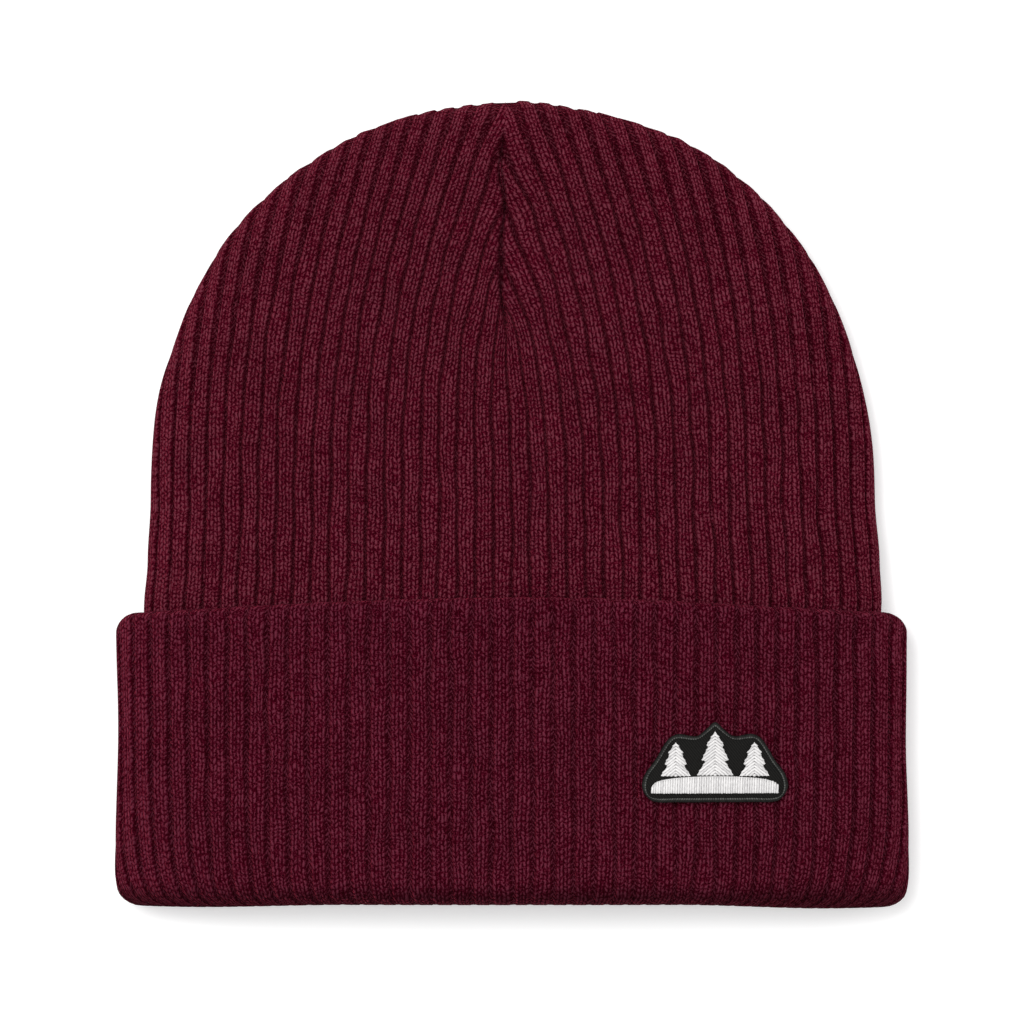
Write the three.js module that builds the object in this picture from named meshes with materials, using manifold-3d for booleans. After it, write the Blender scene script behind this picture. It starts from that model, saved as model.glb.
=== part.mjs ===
// A ribbed knit beanie with a turned-up cuff and a sewn-on embroidered badge, lying flat on its back.
// Millimetres. +X is to the hat's right as it lies, +Y from the rim to the top of the crown, +Z up through the
// front of the hat. The origin is on the surface it lies on, under the middle of the hat.
import * as THREE from "three";
import { mergeVertices } from "three/addons/utils/BufferGeometryUtils.js";
import Module from "manifold-3d";

const wasm = await Module();
wasm.setup();

// Driving dimensions of the knit body
const hatLength = 222; // rim to the top of the crown, cuff turned up
const domeLength = 110; // the part of the crown that the darts round off
const cuffHeight = 81; // rim to the cuff's free edge
const cuffHalfWidth = 110; // widest, just above the rim
const cuffDepth = 36; // front to back over the cuff, loosely filled out
const crownDepth = 27; // front to back where the dome starts
const cuffWall = 3.8; // turned-up knit, crest to inner face
const crownWall = 3; // single knit, crest to inner face
const clearance = 0.5; // between one layer of knit and the next
const sideSlack = 3.6; // the cuff stands off the crown by this much more at each side
const domeTaper = 1.5; // the crown narrows by this much from the cuff to the dome's start
const footHeight = 9; // the doubled fold at the rim
const cuffWaist = 13; // the cuff's sides run straight from here up to its free edge
const rimCornerRadius = 5; // rounding of the cuff's lower corners, seen from the front
const edgeCornerRadius = 4; // and of its upper corners
const cuffRibPitch = 6.05;
const crownRibPitch = 4.92;
const cuffGrooveDepth = 1.3;
const crownGrooveDepth = 1.1;
const seamDepth = 1.4; // how far the middle darts' stitching pulls the knit in
const sideSeamDepth = 0.4; // and the side darts'

// Rounding of the sections: an exponent of 2 is an ellipse, and higher is squarer
const domeExponent = 2.16; // outline of the dome seen from the front
const frontExponent = 2.6;
const backExponent = 7; // the back is pressed nearly flat
const pressedFlat = 0.2; // the lowest part of the back is flattened on the surface by this much
const seamShare = 0.05; // the side darts lie this share of the back's arc below the widest line

// Lean of the ribs towards the darts of the dome
const leanStart = 5; // above the dome's start
const leanRamp = 75;
const leanMost = 0.32; // tangent of the steepest lean, away from the darts
const leanLossAtSide = 0.75; // the outermost ribs lean by this share less
const dartStart = 50; // above the dome's start
const dartGather = 4; // ribs beside the middle that draw together under the dart
const dartPull = 4; // the dart's stitching draws the ribs beside it this much nearer
const pullReach = 6;
const pullRamp = 25; // height over which that starts
const topNotch = 1.1; // the very top, where the darts meet, is pulled down by this
const notchWidth = 3.5;
const dartDrift = 1.8; // the middle darts lie this far to the left of the hat's middle line
const driftReach = 45; // and the ribs within this distance drift with them

// Where the crown's sides, back and front run. at: share of the length from rim to the dome's start.
// taper: share of domeTaper taken off each side. lift: share of the cuff's wall that the back still lies on.
// sink: share of the way that the front has come down from its height in the cuff to that of the dome's start.
// widest: height of the widest line as a share of the depth there.
const crownRun = [
  { at: 0.0, taper: -0.1, lift: 1.0, sink: 0.0, widest: 0.42 },
  { at: 0.5, taper: 0.0, lift: 1.0, sink: 0.0, widest: 0.42 },
  { at: 0.735, taper: 0.0, lift: 1.0, sink: 0.15, widest: 0.42 },
  { at: 0.85, taper: 0.55, lift: 0.35, sink: 0.55, widest: 0.42 },
  { at: 1.0, taper: 1.0, lift: 0.0, sink: 1.0, widest: 0.4 },
];

// The cuff's outer face. at: share of the cuff's height from the rim. width: share of cuffHalfWidth.
// depth: share of cuffDepth.
const cuffRun = [
  { at: 0.0, width: 0.995, depth: 0.965 },
  { at: 0.1, width: 1.0, depth: 1.0 },
  { at: 0.6, width: 0.994, depth: 1.0 },
  { at: 1.0, width: 0.995, depth: 0.985 },
];
const cuffWidest = 0.4; // height of the widest line as a share of the depth

// One rib: across is the share of the pitch, sunk the share of the groove's depth
const ribProfile = [
  { across: 0.0, sunk: 1 },
  { across: 0.2, sunk: 0 },
  { across: 0.8, sunk: 0 },
];

// The badge and its motif: three fir trees on a bank of snow
const badgeX = 55.6;
const badgeLevel = 40; // above the rim
const badgeMargin = 2.5; // cloth left round the motif
const borderWidth = 1.5;
const backingThickness = 1.2;
const borderThickness = 1.7;
const threadThickness = 0.8;
const badgeGap = 0.3;
const treeSpacing = 10.8;
const midTreeHeight = 12;
const midTreeWidth = 10;
const sideTreeHeight = 9.2;
const sideTreeWidth = 8.2;
const treeTiers = 3;
const tierNotch = 0.52; // a tier's waist as a share of its width
const bankWidth = 35;
const bankHeight = 3.4;
const bankRise = 1.2; // the snow is higher in the middle by this

const yarn = new THREE.MeshStandardMaterial({ color: 0x62202f, roughness: 0.95, metalness: 0 });
const cuffYarn = new THREE.MeshStandardMaterial({ color: 0x5d1c2b, roughness: 0.95, metalness: 0 });
const blackFelt = new THREE.MeshStandardMaterial({ color: 0x1b1f1c, roughness: 0.95, metalness: 0 });
const blackThread = new THREE.MeshStandardMaterial({ color: 0x232825, roughness: 0.7, metalness: 0 });
const whiteThread = new THREE.MeshStandardMaterial({ color: 0xe9e8e4, roughness: 0.55, metalness: 0 });

const domeStart = hatLength - domeLength;
const layerInset = cuffWall + clearance;
const footWidth = layerInset + crownWall;

const clamp01 = (t) => Math.min(1, Math.max(0, t));
const smooth = (t) => t * t * (3 - 2 * t);

// A column of a table at a share of its run, eased between rows.
function follow(table, column, at) {
  const next = table.findIndex((row) => row.at >= at);
  if (next <= 0) return table[next === 0 ? 0 : table.length - 1][column];
  const [low, high] = [table[next - 1], table[next]];
  return THREE.MathUtils.lerp(low[column], high[column], smooth((at - low.at) / (high.at - low.at)));
}

// Half a section, from the middle of the front round the right side to the middle of the back, as points [x, z] at
// even shares of its length. heightAt gives the share of the full rise that is left at x.
function halfSection({ half, back, front, widest, riseAt }) {
  const steps = 40;
  const points = [];
  for (let i = 0; i <= 2 * steps; i++) {
    const onFront = i <= steps;
    const turn = ((onFront ? i : 2 * steps - i) / steps) * (Math.PI / 2);
    const exponent = onFront ? frontExponent : backExponent;
    const x = half * Math.pow(Math.sin(turn), 2 / exponent);
    const rise = riseAt(x, exponent);
    const z = onFront ? widest + (front - widest) * rise : widest - (widest - back) * rise;
    points.push([x, Math.max(z, 0)]);
  }
  const lengths = [0];
  for (let i = 1; i < points.length; i++) {
    const [a, b] = [points[i - 1], points[i]];
    lengths.push(lengths[i - 1] + Math.hypot(b[0] - a[0], b[1] - a[1]));
  }
  const total = lengths[lengths.length - 1];
  const seam = lengths[steps] + seamShare * (total - lengths[steps]);
  const at = (length) => {
    let i = lengths.findIndex((l) => l >= length);
    if (i < 1) i = i === 0 ? 1 : lengths.length - 1;
    const t = clamp01((length - lengths[i - 1]) / (lengths[i] - lengths[i - 1] || 1));
    return [0, 1].map((k) => THREE.MathUtils.lerp(points[i - 1][k], points[i][k], t));
  };
  return { total, seam, at, widest };
}

// Half a section of the crown at a level above the rim. inset is how far inside the crests it lies.
const crownSections = new Map();
function crownSection(level, inset) {
  const key = level.toFixed(4) + "/" + inset;
  if (crownSections.has(key)) return crownSections.get(key);
  const share = clamp01(level / domeStart);
  const insideFront = cuffDepth - layerInset;
  const front = THREE.MathUtils.lerp(insideFront, crownDepth, follow(crownRun, "sink", share));
  const back = layerInset * follow(crownRun, "lift", share) - pressedFlat;
  const widest = back + (front - back) * follow(crownRun, "widest", share);
  const fullHalf =
    cuffHalfWidth - layerInset - sideSlack - domeTaper * follow(crownRun, "taper", share) - inset;
  const up = clamp01((level - domeStart) / (domeLength - inset));
  const half = fullHalf * Math.pow(1 - Math.pow(up, domeExponent), 1 / domeExponent);
  const riseAt = (x, exponent) => {
    const out = Math.pow(Math.pow(x / fullHalf, domeExponent) + Math.pow(up, domeExponent), 1 / domeExponent);
    return Math.sqrt(Math.max(0, 1 - Math.pow(Math.min(1, out), exponent)));
  };
  const made = halfSection({ half, back: back + inset, front: front - inset, widest, riseAt });
  crownSections.set(key, made);
  return made;
}

// How far a rib has moved towards the middle at a height above the dome's start.
function ribShift(rib, ribsPerQuarter, height) {
  const past = Math.max(0, height - leanStart);
  const ramped = past < leanRamp ? (past * past) / (2 * leanRamp) : past - leanRamp / 2;
  const sideLoss = 1 - leanLossAtSide * (rib / ribsPerQuarter) ** 2;
  const gather = dartGather * Math.max(0, 1 - height / dartStart);
  const drawn = gather > 0 ? 1 - Math.exp(-rib / gather) : 1;
  return leanMost * ramped * sideLoss * drawn;
}

// Where a rib lies at a level: 0 on the middle line or its dart, 1 on the side dart.
function ribPlace(rib, ribsPerQuarter, level, inset) {
  if (level <= domeStart) return rib / ribsPerQuarter;
  const height = level - domeStart;
  const start = (crownSection(domeStart, inset).seam * rib) / ribsPerQuarter;
  const along = start - ribShift(rib, ribsPerQuarter, height);
  const pull = dartPull * smooth(clamp01((height - dartStart) / pullRamp));
  return (along - pull * Math.exp(-along / pullReach)) / crownSection(level, inset).seam;
}

// The level at which a rib runs into the middle dart or the side dart.
function ribEnd(rib, ribsPerQuarter, inset) {
  const top = hatLength - inset;
  const ended = (level) => {
    const place = ribPlace(rib, ribsPerQuarter, level, inset);
    return place <= 0 || place >= 1;
  };
  const step = 1;
  let low = domeStart;
  if (rib >= ribsPerQuarter) return low;
  if (rib === 0) return ribEnd(ribProfile[1].across, ribsPerQuarter, inset) - step;
  while (low + step < top && !ended(low + step)) low += step;
  let high = Math.min(low + step, top - 0.01);
  for (let i = 0; i < 20; i++) {
    const middle = (low + high) / 2;
    if (ended(middle)) high = middle;
    else low = middle;
  }
  return high;
}

const toY = (level) => level - hatLength / 2;

// How much higher the rim, or lower the free edge, is at x than at the middle of the hat.
function cornerRise(x, half, radius) {
  const past = clamp01((Math.abs(x) - (half - radius)) / radius);
  return radius * (1 - Math.sqrt(1 - past * past));
}

// Y at a level of the dome, pulled down near the very top.
function notched(x, level) {
  const nearTop = clamp01((level - hatLength) / (4 * notchWidth) + 1);
  return toY(level) - topNotch * nearTop * Math.exp(-((x / notchWidth) ** 2));
}

// X at a level of the dome, moved with the middle darts.
function drifted(x, level) {
  const rise = smooth(clamp01((level - domeStart) / (domeLength / 2)));
  return x - dartDrift * rise * Math.max(0, 1 - (x / driftReach) ** 2);
}

// One skin of the crown: a grid of columns round the hat and rows up it, with the darts closed.
// levels are the rows up to the dome's start, and domeRows the shares of each column's own run above it.
function crownSkin({ inset, across, levels, domeRows, ribsPerQuarter }) {
  const columns = [];
  for (let rib = 0; rib < ribsPerQuarter; rib++) {
    for (const step of across) columns.push({ rib: rib + step.across, sunk: step.sunk });
  }
  columns.push({ rib: ribsPerQuarter, sunk: across[0].sunk });
  const quarters = [
    { side: 1, front: true },
    { side: -1, front: true },
    { side: 1, front: false },
    { side: -1, front: false },
  ];
  const rimHalf = crownSection(0, inset).at(crownSection(0, inset).seam)[0];
  const point = (quarter, rib, level, place) => {
    const section = crownSection(level, inset);
    const length = quarter.front
      ? place * section.seam
      : section.total - place * (section.total - section.seam);
    const [x, z] = section.at(length);
    return { x: quarter.side * x, z, level };
  };
  const top = hatLength - inset;
  const tip = [0, notched(0, top), crownSection(top, inset).widest];
  tip[0] = drifted(0, top);
  return quarters.map((quarter) =>
    columns.map(({ rib, sunk }) => {
      const end = ribEnd(rib, ribsPerQuarter, inset);
      const straight = levels.map((level) => {
        const p = point(quarter, rib, level, rib / ribsPerQuarter);
        const rise = cornerRise(p.x, rimHalf, rimCornerRadius) * (1 - clamp01(level / cuffHeight));
        return { at: [p.x, toY(p.level + rise), p.z], sunk };
      });
      const dome = domeRows.map((share) => {
        const last = share === 1;
        const level = domeStart + share * (end - domeStart);
        let place = clamp01(ribPlace(rib, ribsPerQuarter, level, inset));
        if (last) place = rib === 0 || place < 0.5 ? 0 : 1;
        const p = point(quarter, rib, level, place);
        const seamed = (place === 0 ? seamDepth : sideSeamDepth) / crownGrooveDepth;
        return { at: [drifted(p.x, level), notched(p.x, level), p.z], sunk: last ? seamed : sunk };
      });
      const endsInside = clamp01(ribPlace(rib, ribsPerQuarter, end, inset)) < 0.5;
      return { rows: [...straight, ...dome], endsInside, tip };
    }),
  );
}

// Triangles are collected as loose corners, each with how far it is sunk, and merged afterwards.
function newSkin() {
  return { corners: [], sunk: [] };
}

function addTriangle(skin, a, b, c) {
  for (const v of [a, b, c]) {
    skin.corners.push(...v.at);
    skin.sunk.push(v.sunk);
  }
}

function addQuad(skin, a, b, c, d) {
  addTriangle(skin, a, b, c);
  addTriangle(skin, a, c, d);
}

// Fills the strip between two rings that start together and have coarse.length * times = fine.length.
function addRing(skin, fine, coarse, flip) {
  const times = fine.length / coarse.length;
  const add = (a, b, c) => (flip ? addTriangle(skin, a, c, b) : addTriangle(skin, a, b, c));
  for (let i = 0; i < coarse.length; i++) {
    const here = coarse[i];
    const next = coarse[(i + 1) % coarse.length];
    for (let k = 0; k < times; k++) {
      const j = i * times + k;
      add(fine[j], fine[(j + 1) % fine.length], k * 2 < times ? here : next);
      if (k * 2 < times && (k + 1) * 2 >= times) add(here, fine[(j + 1) % fine.length], next);
    }
  }
}

// Welds the corners, presses the sunk ones in along the surface's normal, and returns a plain geometry.
function finishSkin(skin, depth) {
  const loose = new THREE.BufferGeometry();
  loose.setAttribute("position", new THREE.Float32BufferAttribute(skin.corners, 3));
  const sunkAt = new Map();
  const keyOf = (x, y, z) => [x, y, z].map((v) => Math.round(v * 500)).join();
  for (let i = 0; i < skin.sunk.length; i++) {
    const key = keyOf(...skin.corners.slice(3 * i, 3 * i + 3));
    sunkAt.set(key, Math.max(skin.sunk[i], sunkAt.get(key) ?? 0));
  }
  const merged = mergeVertices(loose, 2e-3);
  const index = [];
  const raw = merged.index.array;
  for (let i = 0; i < raw.length; i += 3) {
    const [a, b, c] = [raw[i], raw[i + 1], raw[i + 2]];
    if (a !== b && b !== c && c !== a) index.push(a, b, c);
  }
  merged.setIndex(index);
  merged.computeVertexNormals();
  const position = merged.attributes.position;
  const normal = merged.attributes.normal;
  for (let i = 0; i < position.count; i++) {
    const sunk = sunkAt.get(keyOf(position.getX(i), position.getY(i), position.getZ(i))) ?? 0;
    position.setXYZ(
      i,
      position.getX(i) - normal.getX(i) * sunk * depth,
      position.getY(i) - normal.getY(i) * sunk * depth,
      position.getZ(i) - normal.getZ(i) * sunk * depth,
    );
  }
  merged.deleteAttribute("normal");
  return merged;
}

// The whole bottom ring of a crown skin, from the middle of the front round by the right side.
function bottomRing(quarters) {
  const [frontRight, frontLeft, backRight, backLeft] = quarters.map((q) => q.map((c) => c.rows[0]));
  return [
    ...frontRight.slice(0, -1),
    ...backRight.toReversed().slice(0, -1),
    ...backLeft.slice(0, -1),
    ...frontLeft.toReversed().slice(0, -1),
  ];
}

function addCrownSkin(skin, quarters, inward) {
  const facesOut = [true, false, false, true];
  quarters.forEach((columns, q) => {
    const turned = facesOut[q] === inward;
    for (let i = 0; i + 1 < columns.length; i++) {
      const [near, far] = [columns[i], columns[i + 1]];
      for (let j = 0; j + 1 < near.rows.length; j++) {
        const quad = [near.rows[j], far.rows[j], far.rows[j + 1], near.rows[j + 1]];
        addQuad(skin, ...(turned ? quad.toReversed() : quad));
      }
      if (near.endsInside && !far.endsInside) {
        const tip = { at: near.tip, sunk: 0 };
        const cap = [near.rows.at(-1), far.rows.at(-1), tip];
        addTriangle(skin, ...(turned ? cap.toReversed() : cap));
      }
    }
  });
}

// The crown: one hollow knit shell from inside the cuff to the top, with a dart at the front, the back and each side.
function crown() {
  const startArc = crownSection(domeStart, 0).seam;
  const ribsPerQuarter = Math.round(startArc / crownRibPitch);
  const bottom = footHeight + clearance;
  const outer = crownSkin({
    inset: 0,
    across: ribProfile,
    levels: [bottom, cuffHeight + 1, cuffHeight + 11, domeStart],
    domeRows: [0.2, 0.42, 0.62, 0.8, 0.93, 1],
    ribsPerQuarter,
  });
  const inner = crownSkin({
    inset: crownWall,
    across: [{ across: 0, sunk: 0 }],
    levels: [bottom, cuffHeight + 1, cuffHeight + 11, domeStart],
    domeRows: [0.45, 0.8, 1],
    ribsPerQuarter,
  });
  inner.flat().forEach((column) => column.rows.forEach((row) => (row.sunk = 0)));
  const skin = newSkin();
  addCrownSkin(skin, outer, false);
  addCrownSkin(skin, inner, true);
  addRing(skin, bottomRing(outer), bottomRing(inner), true);
  const mesh = new THREE.Mesh(finishSkin(skin, crownGrooveDepth), yarn);
  mesh.name = "crown";
  return mesh;
}

// A point of the cuff: turn is the share of the way round, inset the distance in from the outer crests.
function cuffPoint(turn, inset, level) {
  const share = clamp01(level / cuffHeight);
  const depth = cuffDepth * follow(cuffRun, "depth", share);
  const squeeze = (footWidth + sideSlack) / footWidth; // the sides are thicker than the front and back
  const half = cuffHalfWidth * follow(cuffRun, "width", share) - inset * squeeze;
  const riseAt = (x, exponent) => Math.sqrt(Math.max(0, 1 - Math.pow(Math.min(1, x / half), exponent)));
  const section = halfSection({
    half,
    back: inset - pressedFlat,
    front: depth - inset,
    widest: depth * cuffWidest,
    riseAt,
  });
  const onRight = turn <= 0.5;
  const [x, z] = section.at((onRight ? turn : 1 - turn) * 2 * section.total);
  const rim = cornerRise(x, half, rimCornerRadius);
  const edge = cornerRise(x, half, edgeCornerRadius);
  const lifted = rim + (level / cuffHeight) * (cuffHeight - edge - rim);
  return [onRight ? x : -x, toY(lifted), z];
}

// The cuff: the knit turned up outside the crown, with its doubled fold at the rim.
function cuff() {
  const arc = 2 * cuffHalfWidth + cuffDepth * 0.7;
  const ribs = 2 * Math.round(arc / cuffRibPitch);
  const fold = footWidth / 2;
  const foldRow = (turn) => ({ inset: fold * (1 - Math.cos(turn)), level: fold * (1 - Math.sin(turn)) });
  const fineRows = [
    { inset: cuffWall / 2, level: cuffHeight },
    { inset: 0, level: cuffHeight - cuffWall / 2 },
    { inset: 0, level: cuffWaist },
    foldRow(0),
    foldRow(Math.PI / 3),
    foldRow((Math.PI * 2) / 3),
  ];
  const coarseRows = [
    { inset: footWidth, level: footHeight },
    { inset: cuffWall, level: footHeight },
    { inset: cuffWall, level: cuffHeight - cuffWall / 2 },
  ];
  const ring = (row, across) => {
    const made = [];
    for (let rib = 0; rib < ribs; rib++) {
      for (const step of across) {
        made.push({ at: cuffPoint((rib + step.across) / ribs, row.inset, row.level), sunk: step.sunk });
      }
    }
    return made;
  };
  const fine = fineRows.map((row) => ring(row, ribProfile));
  const coarse = coarseRows.map((row) => ring(row, [{ across: 0, sunk: 0 }]));
  const skin = newSkin();
  const join = (upper, lower) => {
    upper.forEach((_, i) => {
      const next = (i + 1) % upper.length;
      addQuad(skin, lower[i], lower[next], upper[next], upper[i]);
    });
  };
  for (let i = 0; i + 1 < fine.length; i++) join(fine[i], fine[i + 1]);
  addRing(skin, fine.at(-1), coarse[0], true);
  for (let i = 0; i + 1 < coarse.length; i++) join(coarse[i], coarse[i + 1]);
  addRing(skin, fine[0], coarse.at(-1), false);
  const mesh = new THREE.Mesh(finishSkin(skin, cuffGrooveDepth), cuffYarn);
  mesh.name = "cuff";
  return mesh;
}

// Height of the cuff's front crests at a point.
function cuffFront(x, level) {
  const share = clamp01(level / cuffHeight);
  const depth = cuffDepth * follow(cuffRun, "depth", share);
  const half = cuffHalfWidth * follow(cuffRun, "width", share);
  const widest = depth * cuffWidest;
  return widest + (depth - widest) * Math.sqrt(1 - Math.pow(Math.abs(x) / half, frontExponent));
}

function toSolid(geometry) {
  const plain = geometry.index ? geometry.toNonIndexed() : geometry.clone();
  for (const name of Object.keys(plain.attributes)) {
    if (name !== "position") plain.deleteAttribute(name);
  }
  const merged = mergeVertices(plain, 1e-4);
  return new wasm.Manifold(
    new wasm.Mesh({
      numProp: 3,
      vertProperties: merged.attributes.position.array,
      triVerts: new Uint32Array(merged.index.array),
    }),
  );
}

function toMesh(solid, name, material) {
  const made = solid.getMesh();
  const geometry = new THREE.BufferGeometry();
  geometry.setAttribute("position", new THREE.Float32BufferAttribute(made.vertProperties, 3));
  geometry.setIndex([...made.triVerts]);
  const mesh = new THREE.Mesh(geometry, material);
  mesh.name = name;
  return mesh;
}

const motifWidth = bankWidth + 2 * badgeMargin;
const motifHeight = bankHeight + bankRise + midTreeHeight + 2 * badgeMargin;

// A sheet that follows the cuff's front under the badge, from low to high above its crests.
function badgeLayer(low, high) {
  const [across, up] = [10, 4];
  const skin = newSkin();
  const reach = 0.6;
  const corner = (i, j, height) => {
    const x = badgeX + motifWidth * reach * ((2 * i) / across - 1);
    const level = badgeLevel + motifHeight * reach * ((2 * j) / up - 1);
    return { at: [x, toY(level), cuffFront(x, level) + height], sunk: 0 };
  };
  for (let i = 0; i < across; i++) {
    for (let j = 0; j < up; j++) {
      const cell = (height) =>
        [[i, j], [i + 1, j], [i + 1, j + 1], [i, j + 1]].map(([a, b]) => corner(a, b, height));
      addQuad(skin, ...cell(high));
      addQuad(skin, ...cell(low).toReversed());
    }
  }
  const wall = (a, b) =>
    addQuad(skin, corner(...a, low), corner(...b, low), corner(...b, high), corner(...a, high));
  for (let i = 0; i < across; i++) {
    wall([i, 0], [i + 1, 0]);
    wall([i + 1, up], [i, up]);
  }
  for (let j = 0; j < up; j++) {
    wall([across, j], [across, j + 1]);
    wall([0, j + 1], [0, j]);
  }
  return toSolid(finishSkin(skin, 0));
}

// An outline of the badge, given round its own middle, stood up as a tall block over its place on the cuff.
function badgeBlock(points) {
  const shape = new THREE.Shape(points.map(([x, y]) => new THREE.Vector2(x, y)));
  const block = new THREE.ExtrudeGeometry(shape, { depth: 2 * cuffDepth, bevelEnabled: false });
  block.translate(badgeX, toY(badgeLevel), 0);
  return toSolid(block);
}

const bankFoot = badgeMargin - motifHeight / 2;
const treeFoot = (x) => bankFoot + bankHeight + bankRise * (1 - (x / (bankWidth / 2)) ** 2) + badgeGap;

// A fir tree as a few tiers, each wider than the waist above it.
function treeOutline(x, width, height) {
  const foot = treeFoot(Math.max(0, Math.abs(x) - width / 2));
  const right = [];
  for (let tier = 0; tier < treeTiers; tier++) {
    const spread = (width / 2) * (1 - (tier * 0.8) / treeTiers);
    right.push([spread, foot + (height * tier) / treeTiers + (tier ? 0.02 * height : 0)]);
    if (tier + 1 < treeTiers) right.push([spread * tierNotch, foot + (height * (tier + 0.95)) / treeTiers]);
  }
  const left = right.map(([dx, y]) => [-dx, y]).toReversed();
  return [...right, [0, foot + height], ...left].map(([dx, y]) => [x + dx, y]);
}

function bankOutline() {
  const points = [];
  const steps = 12;
  for (let i = 0; i <= steps; i++) {
    const x = bankWidth * (0.5 - i / steps);
    const round = Math.pow(1 - Math.pow(Math.abs(x) / (bankWidth / 2), 8), 1 / 4);
    points.push([x, bankFoot + bankHeight * round + bankRise * (1 - (x / (bankWidth / 2)) ** 2)]);
  }
  return [...points, [-bankWidth / 2, bankFoot], [bankWidth / 2, bankFoot]];
}

// The badge's own outline: a smooth line that keeps badgeMargin round the trees and the bank.
function badgeOutline(inset) {
  const margin = badgeMargin - inset;
  const bankEdge = bankWidth / 2;
  const sideTop = treeFoot(treeSpacing) + sideTreeHeight;
  const midTop = treeFoot(0) + midTreeHeight;
  const right = [
    [0, bankFoot - margin],
    [bankEdge * 0.55, bankFoot - margin],
    [bankEdge, bankFoot - margin * 0.8],
    [bankEdge + margin, bankFoot + margin * 0.6],
    [bankEdge + margin * 0.7, bankFoot + bankHeight + margin * 0.7],
    [treeSpacing + sideTreeWidth * 0.42 + margin, sideTop - sideTreeHeight * 0.55],
    [treeSpacing + margin * 0.8, sideTop + margin * 0.45],
    [treeSpacing - margin * 0.2, sideTop + margin],
    [treeSpacing * 0.46, sideTop + margin * 0.8],
    [margin * 0.95, midTop + margin * 0.25],
  ];
  const left = right.slice(1).map(([x, y]) => [-x, y]).toReversed();
  const curve = new THREE.CatmullRomCurve3(
    [...right, [0, midTop + margin], ...left].map(([x, y]) => new THREE.Vector3(x, y, 0)),
    true,
    "centripetal",
  );
  return curve.getPoints(56).slice(0, -1).map((p) => [p.x, p.y]);
}

// The badge: black cloth inside a raised edging, with the white motif on top.
function badge() {
  const group = new THREE.Group();
  const add = (outline, low, thickness, name, material) => {
    const solid = badgeBlock(outline).intersect(badgeLayer(low, low + thickness));
    group.add(toMesh(solid, name, material));
  };
  add(badgeOutline(borderWidth + badgeGap / 2), badgeGap, backingThickness, "badge_backing", blackFelt);
  const ring = badgeBlock(badgeOutline(0)).subtract(badgeBlock(badgeOutline(borderWidth - badgeGap / 2)));
  const edging = ring.intersect(badgeLayer(badgeGap, badgeGap + borderThickness));
  group.add(toMesh(edging, "badge_border", blackThread));
  const threadBase = 2 * badgeGap + backingThickness;
  const stitched = (outline, name) => add(outline, threadBase, threadThickness, name, whiteThread);
  stitched(treeOutline(-treeSpacing, sideTreeWidth, sideTreeHeight), "tree_left");
  stitched(treeOutline(0, midTreeWidth, midTreeHeight), "tree_middle");
  stitched(treeOutline(treeSpacing, sideTreeWidth, sideTreeHeight), "tree_right");
  stitched(bankOutline(), "snow_bank");
  return group;
}

const beanie = new THREE.Group();
beanie.name = "beanie";
beanie.add(crown(), cuff(), badge());

export default beanie;
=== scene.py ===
# A ribbed knit beanie with a turned-up cuff and a sewn-on badge, lying on its back on a white table.
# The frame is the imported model's, in metres: +Y from the rim to the top of the crown, +Z up through the
# front. Shapes are worked out in millimetres above the rim, and turned into the frame as each mesh is made.
import math

import bpy
import numpy as np
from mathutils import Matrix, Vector
from mathutils.geometry import delaunay_2d_cdt


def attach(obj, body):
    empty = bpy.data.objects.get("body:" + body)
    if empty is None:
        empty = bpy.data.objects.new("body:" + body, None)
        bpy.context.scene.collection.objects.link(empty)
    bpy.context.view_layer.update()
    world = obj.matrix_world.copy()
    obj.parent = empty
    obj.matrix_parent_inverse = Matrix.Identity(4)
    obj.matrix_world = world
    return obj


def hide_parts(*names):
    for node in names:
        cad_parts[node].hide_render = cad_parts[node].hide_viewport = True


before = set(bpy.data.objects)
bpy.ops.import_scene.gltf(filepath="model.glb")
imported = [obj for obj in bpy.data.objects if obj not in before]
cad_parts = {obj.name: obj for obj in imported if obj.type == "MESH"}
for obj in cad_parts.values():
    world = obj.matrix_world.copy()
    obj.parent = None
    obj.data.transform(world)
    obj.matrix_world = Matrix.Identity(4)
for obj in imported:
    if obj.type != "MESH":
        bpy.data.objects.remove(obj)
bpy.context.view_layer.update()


# THE CROWN
# The body of the hat: a tube of rib knit in soft acrylic yarn, two raised columns of stitches and one sunk.
# It is closed at the top by darts sewn on the inside, at the front, the back and each side.
hat_length = 222.0
dome_length = 110.0
dome_start = hat_length - dome_length
cuff_height = 81.0
cuff_half_width = 110.0
cuff_depth = 36.0
crown_depth = 27.0
cuff_wall = 3.8
crown_wall = 3.0
layer_inset = cuff_wall + 0.5
side_slack = 3.6  # the crown stands this far in from the cuff's wall at each side
crown_half_width = cuff_half_width - layer_inset - side_slack
dome_taper = 1.5
dome_exponent = 2.16  # how square the dome's outline is, and then the section's front and back
front_exponent = 2.6
back_exponent = 7.0
pressed_flat = 0.2
seam_share = 0.05  # the side dart lies this share of the back behind the widest place
foot_height = 9.0

crown_rib_pitch = 4.92
crown_groove_depth = 1.45
crown_sunk_share = 0.165  # of the pitch, taken by the sunk column
crown_course_pitch = 1.44
legs_per_rib = 5  # four raised legs of two stitch columns, and the sunk column
half_rib = legs_per_rib / 2
column_middle = 1.5  # legs from the middle of the sunk column to the middle of a raised one
column_dip = 0.28
leg_parting = 0.12

# On the dome the ribs lean towards the dart, the more the higher, and less at the sides. Those beside it
# are gathered by it lower down, and pulled in where it is sewn.
lean_start = 5.0
lean_ramp = 75.0
lean_most = 0.32
lean_loss_at_side = 0.75
dart_gather = 4.0  # ribs
gather_end = 62.0
dart_start = 50.0
dart_pull = 4.0
pull_reach = 6.0
pull_ramp = 25.0

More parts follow.
